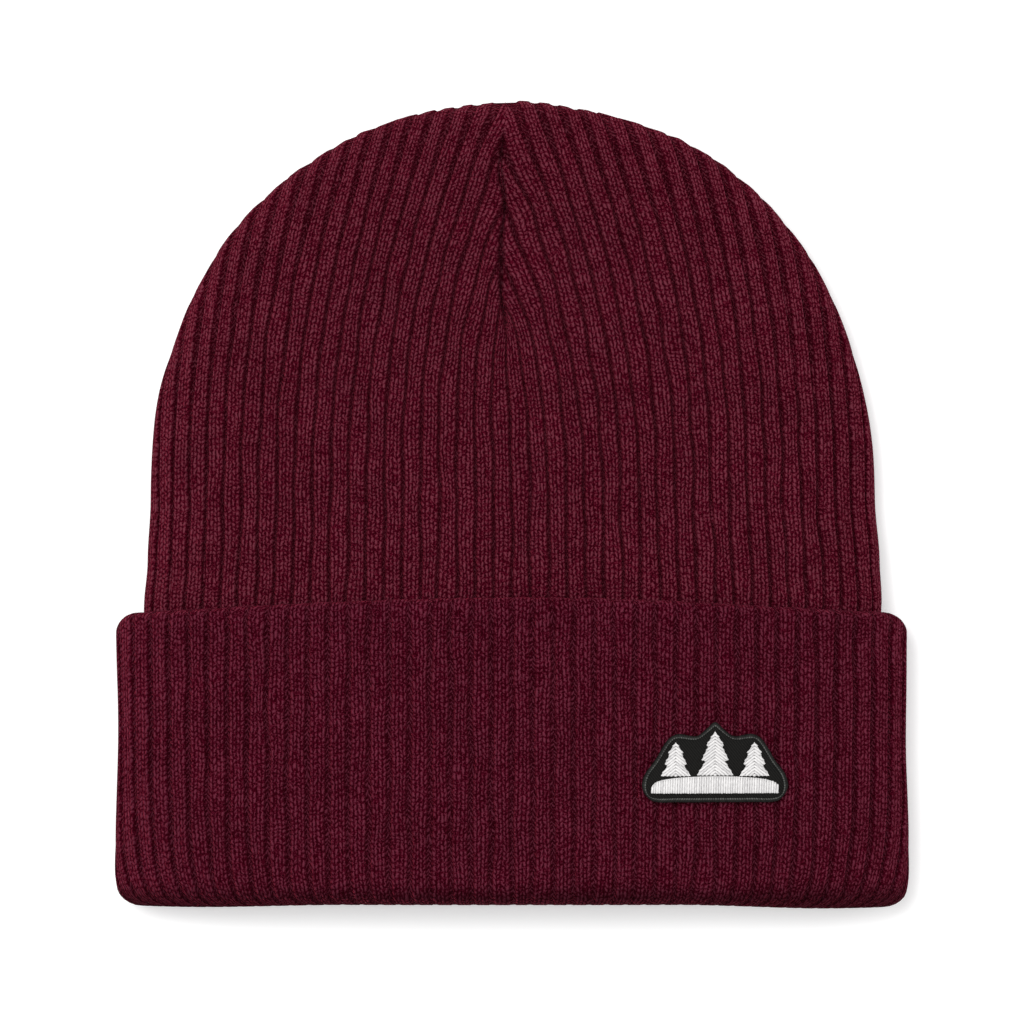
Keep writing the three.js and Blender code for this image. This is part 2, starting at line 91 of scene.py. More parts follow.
# How the section changes from the foot to the start of the dome, as shares of its largest values.
crown_run = [
    {"at": 0.0, "taper": -0.1, "lift": 1.0, "sink": 0.0, "widest": 0.42},
    {"at": 0.5, "taper": 0.0, "lift": 1.0, "sink": 0.0, "widest": 0.42},
    {"at": 0.735, "taper": 0.0, "lift": 1.0, "sink": 0.15, "widest": 0.42},
    {"at": 0.85, "taper": 0.55, "lift": 0.35, "sink": 0.55, "widest": 0.42},
    {"at": 1.0, "taper": 1.0, "lift": 0.0, "sink": 1.0, "widest": 0.4},
]


def smooth(t):
    t = np.clip(t, 0, 1)
    return t * t * (3 - 2 * t)


def hump(value, middle, width):
    """1 at the middle, falling off evenly to both sides."""
    return np.exp(-(((value - middle) / width) ** 2))


def follow(table, column, at):
    """A column of a table at shares of its run, eased between rows."""
    steps = np.array([row["at"] for row in table])
    values = np.array([row[column] for row in table])
    at = np.clip(at, 0, 1)
    low = np.clip(np.searchsorted(steps, at, side="right") - 1, 0, len(steps) - 2)
    share = smooth((at - steps[low]) / (steps[low + 1] - steps[low]))
    return values[low] + (values[low + 1] - values[low]) * share


def half_section(half, back, front, widest, rise_at):
    """Half a section, from the middle of the front round the right side to the middle of the back:
    x, z, the length along it, and the length at the side seam."""
    steps = 90
    turn = np.concatenate([np.arange(steps + 1), np.arange(steps - 1, -1, -1)]) / steps * np.pi / 2
    on_front = np.arange(2 * steps + 1) <= steps
    exponent = np.where(on_front, front_exponent, back_exponent)
    x = half * np.sin(turn) ** (2 / exponent)
    rise = rise_at(x, exponent)
    z = np.where(on_front, widest + (front - widest) * rise, widest - (widest - back) * rise)
    z = np.maximum(z, 0)
    length = np.concatenate([[0], np.cumsum(np.hypot(np.diff(x), np.diff(z)))])
    side = length[steps]
    return x, z, length, side + seam_share * (length[-1] - side)


def crown_sections(inset):
    """Sections of the crown at many levels, each sampled at even shares of the way to the side dart."""
    top = hat_length - inset
    shares = np.linspace(0, 1, 240)
    levels = np.concatenate([
        np.arange(foot_height, dome_start, 1.5),
        top - (top - dome_start) * shares[::-1] ** 2,
    ])
    rows = {"level": levels, "seam": [], "front": [], "back": []}
    for level in levels:
        run = min(1, level / dome_start)
        sink = follow(crown_run, "sink", run)
        front = (cuff_depth - layer_inset) * (1 - sink) + crown_depth * sink
        back = layer_inset * follow(crown_run, "lift", run) - pressed_flat
        widest = back + (front - back) * follow(crown_run, "widest", run)
        taper = dome_taper * follow(crown_run, "taper", run)
        full = crown_half_width - taper - inset
        up = np.clip((level - dome_start) / (dome_length - inset), 0, 1)

        def rise_at(x, exponent):
            out = ((x / full) ** dome_exponent + up**dome_exponent) ** (1 / dome_exponent)
            return np.sqrt(np.maximum(0, 1 - np.minimum(1, out) ** exponent))

        half = full * (1 - up**dome_exponent) ** (1 / dome_exponent)
        x, z, length, seam = half_section(half, back + inset, front - inset, widest, rise_at)
        rows["seam"].append(seam)
        for panel, at in (("front", shares * seam), ("back", length[-1] - shares * (length[-1] - seam))):
            rows[panel].append(np.stack([np.interp(at, length, x), np.interp(at, length, z)], -1))
    return {key: np.array(value) for key, value in rows.items()}


outer_sections = crown_sections(0)
outer_seam = np.interp(dome_start, outer_sections["level"], outer_sections["seam"])
crown_ribs = round(float(outer_seam) / crown_rib_pitch)  # from the front dart to the side dart


def along_section(sections, rib, level):
    """How far along the section, from the middle, a rib lies at a level."""
    height = level - dome_start
    share = rib / crown_ribs
    start = np.interp(dome_start, sections["level"], sections["seam"]) * share
    past = np.maximum(0, height - lean_start)
    ramped = np.where(past < lean_ramp, past**2 / (2 * lean_ramp), past - lean_ramp / 2)
    side_loss = 1 - lean_loss_at_side * share**2
    gather = dart_gather * np.maximum(0, 1 - height / gather_end)
    drawn = np.where(gather > 0, 1 - np.exp(-rib / np.maximum(gather, 1e-6)), 1)
    along = start - lean_most * ramped * side_loss * drawn
    pull = dart_pull * smooth((height - dart_start) / pull_ramp)
    along = along - pull * np.exp(-along / pull_reach)
    seam = np.interp(level, sections["level"], sections["seam"])
    return np.where(level <= dome_start, seam * share, along), seam


def rib_ends(sections, rib):
    """The level at which each rib runs into the middle dart or the side dart."""
    levels = dome_start + dome_length * (1 - np.linspace(1, 0, 1500) ** 2)
    levels = levels[levels < sections["level"][-1] - 0.02]
    along, seam = along_section(sections, rib[:, None], levels[None, :])
    spare = np.minimum(along, seam - along)
    ends = np.empty(len(rib))
    for i, line in enumerate(spare):
        gone = np.nonzero(line[1:] <= 0)[0]
        if rib[i] >= crown_ribs:
            ends[i] = dome_start
        elif not len(gone):
            ends[i] = levels[-1]
        else:
            j = gone[0] + 1
            share = line[j - 1] / max(line[j - 1] - line[j], 1e-9)
            ends[i] = levels[j - 1] + np.clip(share, 0, 1) * (levels[j] - levels[j - 1])
    ends[0] = ends[1] - 0.3
    return ends


def off_sunk(leg):
    """How many legs off the middle of the nearest sunk column a place lies."""
    return np.abs(leg - np.round(leg / legs_per_rib) * legs_per_rib)


def down_in_sunk(leg):
    """1 down in a sunk column, 0 up on the rib."""
    return smooth((0.75 - off_sunk(leg)) / 0.35)


def legs_to_rib(leg, sunk_share):
    """Turns a count of legs across the knit into a count of ribs. A sunk column is narrower than a leg."""
    whole = np.round(leg / legs_per_rib)
    off = leg - whole * legs_per_rib
    raised = (1 - sunk_share) / (legs_per_rib - 1)
    inside = off * sunk_share
    outside = np.sign(off) * (sunk_share / 2 + (np.abs(off) - 0.5) * raised)
    return whole + np.where(np.abs(off) <= 0.5, inside, outside)


def open_sunk(leg, widening):
    """Counts legs anew where the knit is drawn open: the sunk column takes up that much more each side."""
    whole = np.round(leg / legs_per_rib) * legs_per_rib
    off = leg - whole
    reach = 0.5 + widening
    inside = off * 0.5 / reach
    outside = np.sign(off) * (0.5 + (np.abs(off) - reach) * (half_rib - 0.5) / (half_rib - reach))
    return whole + np.where(np.abs(off) <= reach, inside, outside)



def rib_relief(leg, groove_depth):
    """How far the knit lies under its crests, in millimetres: the groove of the sunk column, the dip
    between the two raised columns, and the parting between the two legs of each."""
    off = off_sunk(leg)
    groove = groove_depth * smooth((0.9 - off) / 0.52)
    dip = column_dip * np.clip(off - column_middle, 0, 1) ** 2
    return groove + dip + leg_parting * hump(off, column_middle, 0.2)


# Two sorts of unevenness. The slow one is such as a hand leaves when laying knit down. In the other each
# rib strays by itself as it runs up the hat: two ribs across, and 30 mm along.
wave_random = np.random.default_rng(7)
slow_waves = [
    (wave_random.normal(0, 1, 2) * 2 * np.pi / length, wave_random.uniform(0, 2 * np.pi, 2))
    for length in (90, 60, 45, 34, 26, 20, 16)
]
rib_waves = [
    (np.array([1 / across, 1 / along]) * 2 * np.pi, wave_random.uniform(0, 2 * np.pi, 2))
    for across, along in ((14, 47), (-11, 36), (19, -27), (-26, -19), (9, 60))
]


def unevenness(waves, points, layer):
    """An even mix of waves, about -1 to 1. Each of the two layers has its own phases."""
    total = sum(np.sin(k[0] * points[..., 0] + k[1] * points[..., 1] + phase[layer]) for k, phase in waves)
    return total / len(waves) * 1.6


dart_drift = 1.8  # the dart lies this far to the left at the top
drift_reach = 45.0
stray_reach = 7.0  # and strays in waves as it runs down, together with what is this near
top_zone = 8.0
top_notch = 1.0
notch_at = 1.5
notch_width = 0.9
right_fullness = 0.5
right_top_fullness = 0.4
left_top_fullness = 0.65
side_swell = 0.9


def as_it_lies(x, level):
    """Moves points of the even crown to where the real one lies, and gives their x and y."""
    rise = smooth((level - dome_start) / (dome_length / 2))
    sewn = smooth((level - dome_start - 40) / 25) * smooth((hat_length - 2 - level) / 12)
    stray = 1.0 + 0.5 * np.sin(level / 5.3) + 0.3 * np.sin(level / 2.9 + 1)
    moved = x - dart_drift * rise * np.maximum(0, 1 - (x / drift_reach) ** 2)
    moved = moved - stray * sewn * hump(x, 0, stray_reach)
    # The dome stands a little fuller on the right of the dart than on its left, with a notch between.
    near_top = np.clip((level - hat_length) / top_zone + 1, 0, 1)
    on_right = smooth((x + 1) / 3) * smooth((level - 185) / 25)
    level_there = level - top_notch * near_top * hump(x, notch_at, notch_width)
    level_there = level_there + (right_fullness + right_top_fullness * near_top * hump(x, 5, 6)) * on_right
    level_there = level_there + left_top_fullness * near_top * hump(x, -2.4, 2.6)
    # Just above the cuff the right side swells out.
    swell = side_swell * smooth(x / 90) * hump(level, 90, 16)
    return moved + swell, level_there - hat_length / 2


seam_depth = 2.0
side_seam_depth = 0.12
side_seam_width = 1.3
open_from = 0.78  # of the way from the middle to the outline: from there on the knit is drawn open
far_off = 99.0


def crown_grid(inset, legs, levels, shares):
    """The four quarters of a crown skin. Its points are [quarter, column, row, xyz] in millimetres, and for
    each there are its counts of legs and courses and how far it is sunk and drawn open."""
    sections = crown_sections(inset)
    rib = legs_to_rib(legs, crown_sunk_share)
    ends = rib_ends(sections, rib)
    rows = [np.full(len(rib), level) for level in levels]
    rows += [dome_start + share * (ends - dome_start) for share in shares]
    level = np.stack(rows, 1)
    along, seam = along_section(sections, rib[:, None], level)
    place = np.clip(along / seam, 0, 1)
    ends_inside = (place[:, -1] < 0.5) | (rib == 0)
    place[:, -1] = np.where(ends_inside, 0, 1)
    at_level = np.interp(level, sections["level"], np.arange(len(sections["level"])))
    row = np.clip(at_level.astype(int), 0, len(sections["level"]) - 2)
    row_share = (at_level - row)[..., None]
    at_place = place * (sections["front"].shape[1] - 1)
    column = np.clip(at_place.astype(int), 0, sections["front"].shape[1] - 2)
    column_share = (at_place - column)[..., None]
    points = []
    for panel in ("front", "back"):
        table = sections[panel]
        low = table[row, column] * (1 - column_share) + table[row, column + 1] * column_share
        high = table[row + 1, column] * (1 - column_share) + table[row + 1, column + 1] * column_share
        xz = low * (1 - row_share) + high * row_share
        for side in (1, -1):
            points.append(np.stack([*as_it_lies(side * xz[..., 0], level), xz[..., 1]], -1))
    points = np.array(points)
    step = np.linalg.norm(np.diff(points[0], axis=1), axis=-1)
    courses = np.concatenate([np.zeros((len(rib), 1)), np.cumsum(step, 1)], 1) / crown_course_pitch
    from_middle = np.where(level > dome_start, along, far_off)
    from_side = np.where(level > dome_start, seam - along, far_off)
    sewn = smooth((level - dome_start - dart_start + 8) / 10) * smooth((hat_length - 5 - level) / 8)
    slit_width = 0.7 + 0.12 * np.sin(level / 3.1) + 0.1 * np.sin(level / 1.1 + 2)
    dart = sewn * hump(from_middle, 0, slit_width)
    up = np.clip((level - dome_start) / dome_length, 0, 1)
    out = ((points[0, ..., 0] / crown_half_width) ** 2 + up**2) ** 0.5
    drawn_open = smooth((out - open_from) / 0.18) * smooth((level - dome_start - 20) / 30)
    return {
        "points": points,
        "level": level,
        "legs": open_sunk(np.broadcast_to(legs[:, None], level.shape), 0.5 * drawn_open),
        "courses": courses,
        "drawn_open": drawn_open,
        "sunk": dart * seam_depth + hump(from_side, 0, side_seam_width) * side_seam_depth,
        "ends_inside": ends_inside,
    }


def outward(points, flip):
    """Normals of a grid of points."""
    across = np.gradient(points, axis=0)
    up = np.gradient(points, axis=1)
    normal = np.cross(across, up) * flip
    length = np.linalg.norm(normal, axis=-1, keepdims=True)
    return normal / np.maximum(length, 1e-9)


def weld_normals(points, normals):
    """Averages the normals of points that lie in the same place."""
    flat = points.reshape(-1, 3)
    _, same = np.unique(np.round(flat * 50).astype(np.int64), axis=0, return_inverse=True)
    same = same.ravel()
    total = np.zeros((same.max() + 1, 3))
    np.add.at(total, same, normals.reshape(-1, 3))
    total /= np.maximum(np.linalg.norm(total, axis=1, keepdims=True), 1e-9)
    return total[same].reshape(points.shape)


def crown_normals(points):
    """Outward normals of the four quarters."""
    return weld_normals(points, np.array([outward(p, flip) for p, flip in zip(points, (1, -1, -1, 1))]))


def put_on_hat(name, points, polygons, counts, material, node):
    """Makes a smooth piece from points in millimetres. It rides on the hat and stands for a CAD node. Its
    counts of stitches, a pair for each corner of each face, tell the material where a stitch lies."""
    mesh = bpy.data.meshes.new(name)
    mesh.from_pydata((points * 0.001).tolist(), [], polygons)
    if counts is not None:
        layer = mesh.uv_layers.new(name="stitches")
        layer.data.foreach_set("uv", counts.astype(np.float32).ravel())
    mesh.polygons.foreach_set("use_smooth", np.ones(len(polygons), bool))
    mesh.materials.append(material)
    mesh.update()
    piece = bpy.data.objects.new(name, mesh)
    bpy.context.scene.collection.objects.link(piece)
    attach(piece, "root")
    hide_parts(node)
    return mesh


def knit_piece(name, points, faces, stitches, hollow, material, node):
    """A piece of knit, with points in the same place made one. It keeps each point's painted shade and
    painted highlight.
    """
    kept, used = np.unique(np.round(points * 200).astype(np.int64), axis=0, return_inverse=True)[0:2]
    used = used.ravel()
    first = np.zeros(len(kept), np.int64)
    first[used[::-1]] = np.arange(len(points))[::-1]
    welded = used[faces]
    loops, polygons = [], []
    for face, corners in zip(faces.tolist(), welded.tolist()):
        ring = [i for i in range(len(corners)) if corners[i] != corners[i - 1]]
        if len(ring) > 2 and len({corners[i] for i in ring}) == len(ring):
            polygons.append([corners[i] for i in ring])
            loops.extend(face[i] for i in ring)
    mesh = put_on_hat(name, points[first], polygons, stitches[loops], material, node)
    # Painted shading: how far painted shade darkens each point, or, where negative, how far painted
    # highlight lightens it.
    layer = mesh.attributes.new("hollow", "FLOAT", "POINT")
    layer.data.foreach_set("value", hollow[first].astype(np.float32).ravel())


def grid_faces(columns, rows, start, turned):
    """Corner numbers of the quads of a grid whose points are numbered column by column."""
    i, j = np.meshgrid(np.arange(columns - 1), np.arange(rows - 1), indexing="ij")
    near, far = start + i * rows + j, start + (i + 1) * rows + j
    quads = np.stack([near, far, far + 1, near + 1], -1).reshape(-1, 4)
    return quads[:, ::-1] if turned else quads


def add(tree, kind, inputs=(), operation=None, **settings):
    """Adds a node with its settings. Inputs are plain values, nodes, or (node, output name) pairs."""
    made = tree.nodes.new("ShaderNode" + kind)
    if operation:
        made.operation = operation
    for key, value in settings.items():
        setattr(made, key, value)
    for key, value in inputs.items() if isinstance(inputs, dict) else enumerate(inputs):
        if isinstance(value, bpy.types.Node):
            tree.links.new(value.outputs[0], made.inputs[key])
        elif isinstance(value, tuple) and isinstance(value[0], bpy.types.Node):
            tree.links.new(value[0].outputs[value[1]], made.inputs[key])
        else:
            made.inputs[key].default_value = value
    return made


def linear(colour):
    """An sRGB hex colour as the linear values a shader takes."""
    parts = [int(colour[i : i + 2], 16) / 255 for i in (1, 3, 5)]
    return [c / 12.92 if c <= 0.04045 else ((c + 0.055) / 1.055) ** 2.4 for c in parts] + [1]


def empty_material(name):
    """A material whose node tree is still empty, and the tree."""
    material = bpy.data.materials.new(name)
    material.use_nodes = True
    material.node_tree.nodes.clear()
    return material, material.node_tree


def acrylic_rib_knit(name, shaded_deep, mid, lit_crest, sunk_height, sunk_painted_dimming):
    """Two-ply acrylic yarn in rib knit. Each stitch is a V of two plump legs that point to the rim, and the
    sunk columns between show the backs of stitches as small roofs. The fibre is matt with a soft fuzz."""
    material, tree = empty_material(name)
    counts = add(tree, "SeparateXYZ", [add(tree, "UVMap", uv_map="stitches")])
    place = (add(tree, "TexCoord"), "Object")
    # Stitches sit unevenly: over 9 mm and again over 2 mm they drift by a share of a leg or a course.
    across, up = (counts, "X"), (counts, "Y")
    drifts = []
    for scale, of_leg, of_course in ((110.0, 0.5, 3.0), (480.0, 0.6, 1.0)):
        drift = add(tree, "TexNoise", {"Vector": place, "Scale": scale, "Detail": 1.0})
        drift = add(tree, "SeparateXYZ", [(drift, "Color")])
        across = add(tree, "Math", [(drift, "X"), of_leg, across], "MULTIPLY_ADD")
        up = add(tree, "Math", [(drift, "Y"), of_course, up], "MULTIPLY_ADD")
        drifts.append(drift)
    across = add(tree, "Math", [across, 0.55], "SUBTRACT")
    # Which leg this is, and how far from its middle line. No two legs start their courses quite together.
    leg = add(tree, "Math", [across, 0.5], "ADD")
    leg = add(tree, "Math", [leg], "FLOOR")
    side = add(tree, "Math", [across, leg], "SUBTRACT")
    kind = add(tree, "Math", [leg, 5.0], "FLOORED_MODULO")
    sunk = add(tree, "Math", [kind, 0.5], "LESS_THAN")
    odd = add(tree, "Math", [kind, 2.0], "FLOORED_MODULO")
    lean = add(tree, "Math", [odd, 2.0, -1.0], "MULTIPLY_ADD")
    lean = add(tree, "Math", [lean, side], "MULTIPLY")
    lean = add(tree, "Math", [lean, 0.5], "MULTIPLY")
    roof = add(tree, "Math", [side], "ABSOLUTE")
    roof = add(tree, "Math", [roof, 1.3], "MULTIPLY")
    on_right = add(tree, "Math", [side, 0.0], "GREATER_THAN")
    roof = add(tree, "Math", [on_right, 0.4, roof], "MULTIPLY_ADD")
    lean = add(tree, "Mix", {0: sunk, 2: lean, 3: roof}, data_type="FLOAT")
    start = add(tree, "TexWhiteNoise", {"W": leg}, noise_dimensions="1D")
    up = add(tree, "Math", [start, 0.8, up], "MULTIPLY_ADD")
    course = add(tree, "Math", [lean, up], "ADD")
    stitch = add(tree, "Math", [course], "FLOOR")
    part = add(tree, "Math", [course, stitch], "SUBTRACT")
    # A leg is a round strand: highest along its middle, and dipping where the next stitch pulls it under.
    part = add(tree, "Math", [part, 2.0, -1.0], "MULTIPLY_ADD")
    part = add(tree, "Math", [part, part], "MULTIPLY")
    crown_of_leg = add(tree, "Math", [1.0, part], "SUBTRACT")
    crown_of_leg = add(tree, "Math", [crown_of_leg, crown_of_leg], "MULTIPLY")
    leg_strand = add(tree, "Math", [crown_of_leg, 0.76, 0.3], "MULTIPLY_ADD")
    roof_rise = 1.15 * sunk_height
    roof_strand = add(tree, "Math", [part, -2 * roof_rise, roof_rise], "MULTIPLY_ADD")
    strand = add(tree, "Mix", {0: sunk, 2: leg_strand, 3: roof_strand}, data_type="FLOAT")
    bend = add(tree, "Math", [side, side], "MULTIPLY")
    leg_bend = add(tree, "Math", [bend, -4.6, 1.0], "MULTIPLY_ADD")
    roof_bend = add(tree, "Math", [bend, -1.5, 1.0], "MULTIPLY_ADD")
    bend = add(tree, "Mix", {0: sunk, 2: leg_bend, 3: roof_bend}, data_type="FLOAT")
    strand = add(tree, "Math", [strand, 0.0], "MAXIMUM")
    bend = add(tree, "Math", [bend, 0.0], "MAXIMUM")
    height = add(tree, "Math", [strand, bend], "MULTIPLY")
    strand_number = add(tree, "Math", [on_right, 0.5, leg], "MULTIPLY_ADD")
    strand_number = add(tree, "Mix", {0: sunk, 2: leg, 3: strand_number}, data_type="FLOAT")
    cell = add(tree, "CombineXYZ", [strand_number, stitch, 0.0])
    chance = add(tree, "TexWhiteNoise", {"Vector": cell}, noise_dimensions="2D")
    # Loose fibre is drawn about 0.5 mm apart, far coarser than real fibre of 0.02 mm, so that it shows at
    # all. The dye is a little cloudy, over 17 mm.
    fibre = add(tree, "TexNoise", {"Vector": place, "Scale": 2100.0, "Detail": 2.0, "Roughness": 0.75})
    cloudy = add(tree, "TexNoise", {"Vector": place, "Scale": 60.0, "Detail": 3.0})
    # Colour: the yarn's own wine, with painted shade, nearly black, down between the strands and a painted
    # rose highlight on their backs.
    shaded_tone = add(tree, "Math", [chance, 0.95, 0.62], "MULTIPLY_ADD")
    shaded_tone = add(tree, "Math", [shaded_tone, height], "MULTIPLY")
    shaded_tone = add(tree, "Math", [fibre, 3.9, shaded_tone], "MULTIPLY_ADD")
    shaded_tone = add(tree, "Math", [shaded_tone, 1.96], "SUBTRACT")
    ramp = add(tree, "ValToRGB", [shaded_tone])
    ramp.color_ramp.elements[0].position = 0.05
    ramp.color_ramp.elements.new(0.42)
    for stop, shade_of_yarn in zip(ramp.color_ramp.elements, (shaded_deep, mid, lit_crest)):
        stop.color = linear(shade_of_yarn)
    # Painted shade: the sunk columns are dimmed to this share, and the dye's slow clouding is multiplied in
    # after.
    painted_shade_and_dye = add(tree, "Math", [sunk, sunk_painted_dimming - 1.0, 1.0], "MULTIPLY_ADD")
    cloud = add(tree, "Math", [cloudy, 0.3, 0.7], "MULTIPLY_ADD")
    cloud = add(tree, "Math", [(drifts[0], "Z"), 0.3, cloud], "MULTIPLY_ADD")
    painted_shade_and_dye = add(tree, "Math", [painted_shade_and_dye, cloud], "MULTIPLY")
    # Painted shade darkens the seams, the sunk columns and the turned rim, and painted highlight lightens
    # the drawn-open rungs, as the mesh's attribute gives.
    hollow = add(tree, "Attribute", attribute_name="hollow")
    painted_shading_factor = add(tree, "Math", [(hollow, "Fac"), -1.0, 1.0], "MULTIPLY_ADD")
    painted_shade_and_dye = add(tree, "Math", [painted_shade_and_dye, painted_shading_factor], "MULTIPLY")
    colour = add(tree, "VectorMath", {0: ramp, "Scale": painted_shade_and_dye}, "SCALE")
    # The strands stand about half a millimetre proud, the fibres a few hundredths.
    relief = add(tree, "Math", [fibre, 0.3, height], "MULTIPLY_ADD")
    relief = add(tree, "Math", [chance, 0.15, relief], "MULTIPLY_ADD")
    bump = add(tree, "Bump", {"Height": relief, "Strength": 1.0, "Distance": 0.00045})
    yarn = add(tree, "BsdfPrincipled", {
        "Base Color": colour,
        "Normal": bump,
        "Roughness": 0.9,
        "Specular IOR Level": 0.02,
        "Sheen Weight": 0.3,
        "Sheen Roughness": 0.3,
        "Sheen Tint": linear("#c8405a"),
    })
    add(tree, "OutputMaterial", {"Surface": yarn})
    return material


# Painted shade between strands, the yarn's wine, painted highlight on their backs, the sunk columns' height
# and their painted dimming.
crown_yarn = acrylic_rib_knit("acrylic_rib_knit_crown", "#2e000a", "#4a0217", "#692d3a", 0.65, 0.7)

crown_levels = np.array([9.5, 40, 68, 75, 78, 80, *np.arange(81.5, dome_start - 0.5, 2.0), dome_start])
side_relief = 0.06  # share of the relief left where the knit faces sideways, because it is crowded there
side_round = 0.06  # each rib rounds off there by this much, and at the top of the dome by top_round more
top_round = 0.4
lay_swell = 0.35
lay_sink = 0.2
rib_sway = 0.34
sway_end = 99.0  # ribs stray sideways only this far from the middle, so that the outline stays smooth
touch_height = 0.3  # what lies lower than this rests on the table
lowest = 0.02
# Painted shade on the seam and in the sunk columns, and painted highlight on the drawn-open rungs:
seam_painted_shade = 0.8
sunk_painted_shade = 0.19
open_painted_highlight = 0.1


def crown_skin(steps_per_leg, dome_rows):
    """The outer skin of the crown: its four quarters with their relief, and the stitch counts."""
    legs = np.arange(0, crown_ribs * legs_per_rib + 1e-6, 1 / steps_per_leg)
    grid = crown_grid(0, legs, crown_levels, np.linspace(0, 1, dome_rows + 1)[1:])
    points = grid["points"]
    normals = crown_normals(points)
    face_up = np.abs(normals[..., 2])
    relief = rib_relief(grid["legs"], crown_groove_depth)
    relief = relief * (side_relief + (1 - side_relief) * face_up)
    relief = relief * (0.9 + 0.25 * unevenness(rib_waves, points, 1))
    # Where the knit turns over the edge of the dome each rib shows round.
    round_rib = side_round + top_round * smooth((grid["level"] - 180) / 30)
    round_rib = round_rib * ((half_rib - off_sunk(grid["legs"])) / half_rib) ** 2
    relief = relief + round_rib * (1 - face_up)
    depth = np.maximum(relief, grid["sunk"])[..., None]
    free = points[..., 2:3] >= touch_height
    swell = (lay_swell * unevenness(slow_waves, points, 0)[..., None] - lay_sink) * free
    points = points + normals * (swell - depth)
    sway = rib_sway * unevenness(rib_waves, points, 0)
    from_middle = np.hypot(points[..., 0], np.maximum(points[..., 1], 0))
    points[..., 0] += sway * smooth((sway_end - from_middle) / 20)
    points[..., 2] = np.maximum(points[..., 2], lowest)
    round_half = 2 * crown_ribs * legs_per_rib
    across = [grid["legs"], -grid["legs"], round_half - grid["legs"], grid["legs"] - round_half]
    stitches = np.array([np.stack([a, grid["courses"]], -1) for a in across])
    # Painted shade darkens the seam and the knit down in the sunk columns. Round the outer part of the dome
    # these are drawn open, and painted highlight lightens their rungs.
    seam_shade = np.broadcast_to(seam_painted_shade * np.clip(grid["sunk"] / seam_depth, 0, 1), points.shape[:3])
    sunk_shade_open_highlight = sunk_painted_shade * down_in_sunk(grid["legs"]) - open_painted_highlight * grid["drawn_open"]
    hollow = np.where(seam_shade < 0.15, seam_shade + sunk_shade_open_highlight, seam_shade)
    return points, stitches, hollow, grid["ends_inside"]


def crown_panel(name, quarters, steps_per_leg, dome_rows):
    """One panel of the crown, front or back, from two quarters, with one face over the top of its dart."""
    points, stitches, hollow, ends_inside = crown_skin(steps_per_leg, dome_rows)
    columns, rows = points.shape[1:3]
    last = int(np.nonzero(ends_inside)[0][-1])
    faces = []
    tips = []
    for k, quarter in enumerate(quarters):
        first = k * columns * rows
        faces.append(grid_faces(columns, rows, first, quarter in (1, 2)))
        near = first + last * rows + rows - 1
        tips.append((near, near + rows))
    (a, b), (c, d) = tips
    faces.append([[a, b, d, c]] if quarters[0] == 0 else [[c, d, b, a]])
    knit_piece(
        name, points[quarters].reshape(-1, 3), np.concatenate(faces), stitches[quarters].reshape(-1, 2),
        hollow[quarters].ravel(), crown_yarn, "crown",
    )


crown_panel("crown_front", [0, 1], 4, 84)
crown_panel("crown_back", [2, 3], 3, 56)

# The wrong side of the same knit, seen through the mouth of the hat. Its sunk columns stand out a little.
inside_legs = np.arange(0, crown_ribs * legs_per_rib + 1e-6, 1.0)
inside_levels = crown_levels[[0, 1, 2, 5, 8, 12, -1]]
inside = crown_grid(crown_wall, inside_legs, inside_levels, np.linspace(0, 1, 31)[1:])
inside_points = inside["points"]
inside_rise = 0.5 - 0.8 * rib_relief(inside["legs"], 1.0)
inside_points = inside_points + crown_normals(inside_points) * inside_rise[None, ..., None]
columns, rows = inside_points.shape[1:3]
inside_faces = np.concatenate(
    [grid_faces(columns, rows, q * columns * rows, q in (0, 3)) for q in range(4)]
)
inside_counts = np.stack([inside["legs"], inside["courses"]], -1).reshape(-1, 2)
knit_piece(
    "crown_inside", inside_points.reshape(-1, 3), inside_faces, np.tile(inside_counts, (4, 1)),
    np.zeros(inside_points[..., 0].size), crown_yarn, "crown",
)


# THE CUFF
# The lower part of the same knit, turned up once and so stretched a little wider than the crown.
# Its free edge is soft and rounded, and at the rim the ribs flatten as they turn under.
cuff_rib_pitch = 6.05
cuff_groove_depth = 1.3
cuff_course_pitch = 1.53
cuff_sunk_share = 0.25
cuff_widest = 0.4
rim_corner_radii = (1.4, 0.5)  # left, right
edge_corner_radii = (4.3, 4.4)
edge_bow = 4.2  # the free edge rides up this much in the middle of the front
rim_lean = 9.5  # near the rim the ribs lean this much towards the middle of the front
rim_lean_height = 14.0
rim_hang = (0.9, 1.3)  # the turned rim hangs this much lower towards its corners: left, right
edge_groove = 0.12  # shares of the ribs' full relief left over the free edge and round the rim
rim_groove = 0.3
cuff_swell_most = 0.3
cuff_sway_most = 0.3
foot_width = layer_inset + crown_wall
badge_x = 55.6
badge_level = 40.0
badge_press = 0.45
# Painted shade along the turned rim, and in the sunk columns towards the sides:
rim_painted_shade = 0.64
side_painted_shade = 0.13
cuff_run = [
    {"at": 0.0, "width": 0.991, "depth": 0.965},
    {"at": 0.11, "width": 1.0, "depth": 1.0},
    {"at": 0.6, "width": 0.994, "depth": 1.0},
    {"at": 1.0, "width": 0.995, "depth": 0.985},
]


def corner_rise(x, half, radii):
    """How far an edge draws back at x, where its corners are rounded."""
    radius = np.where(x < 0, radii[0], radii[1])
    past = np.clip((np.abs(x) - (half - radius)) / radius, 0, 1)
    return radius * (1 - np.sqrt(1 - past * past))


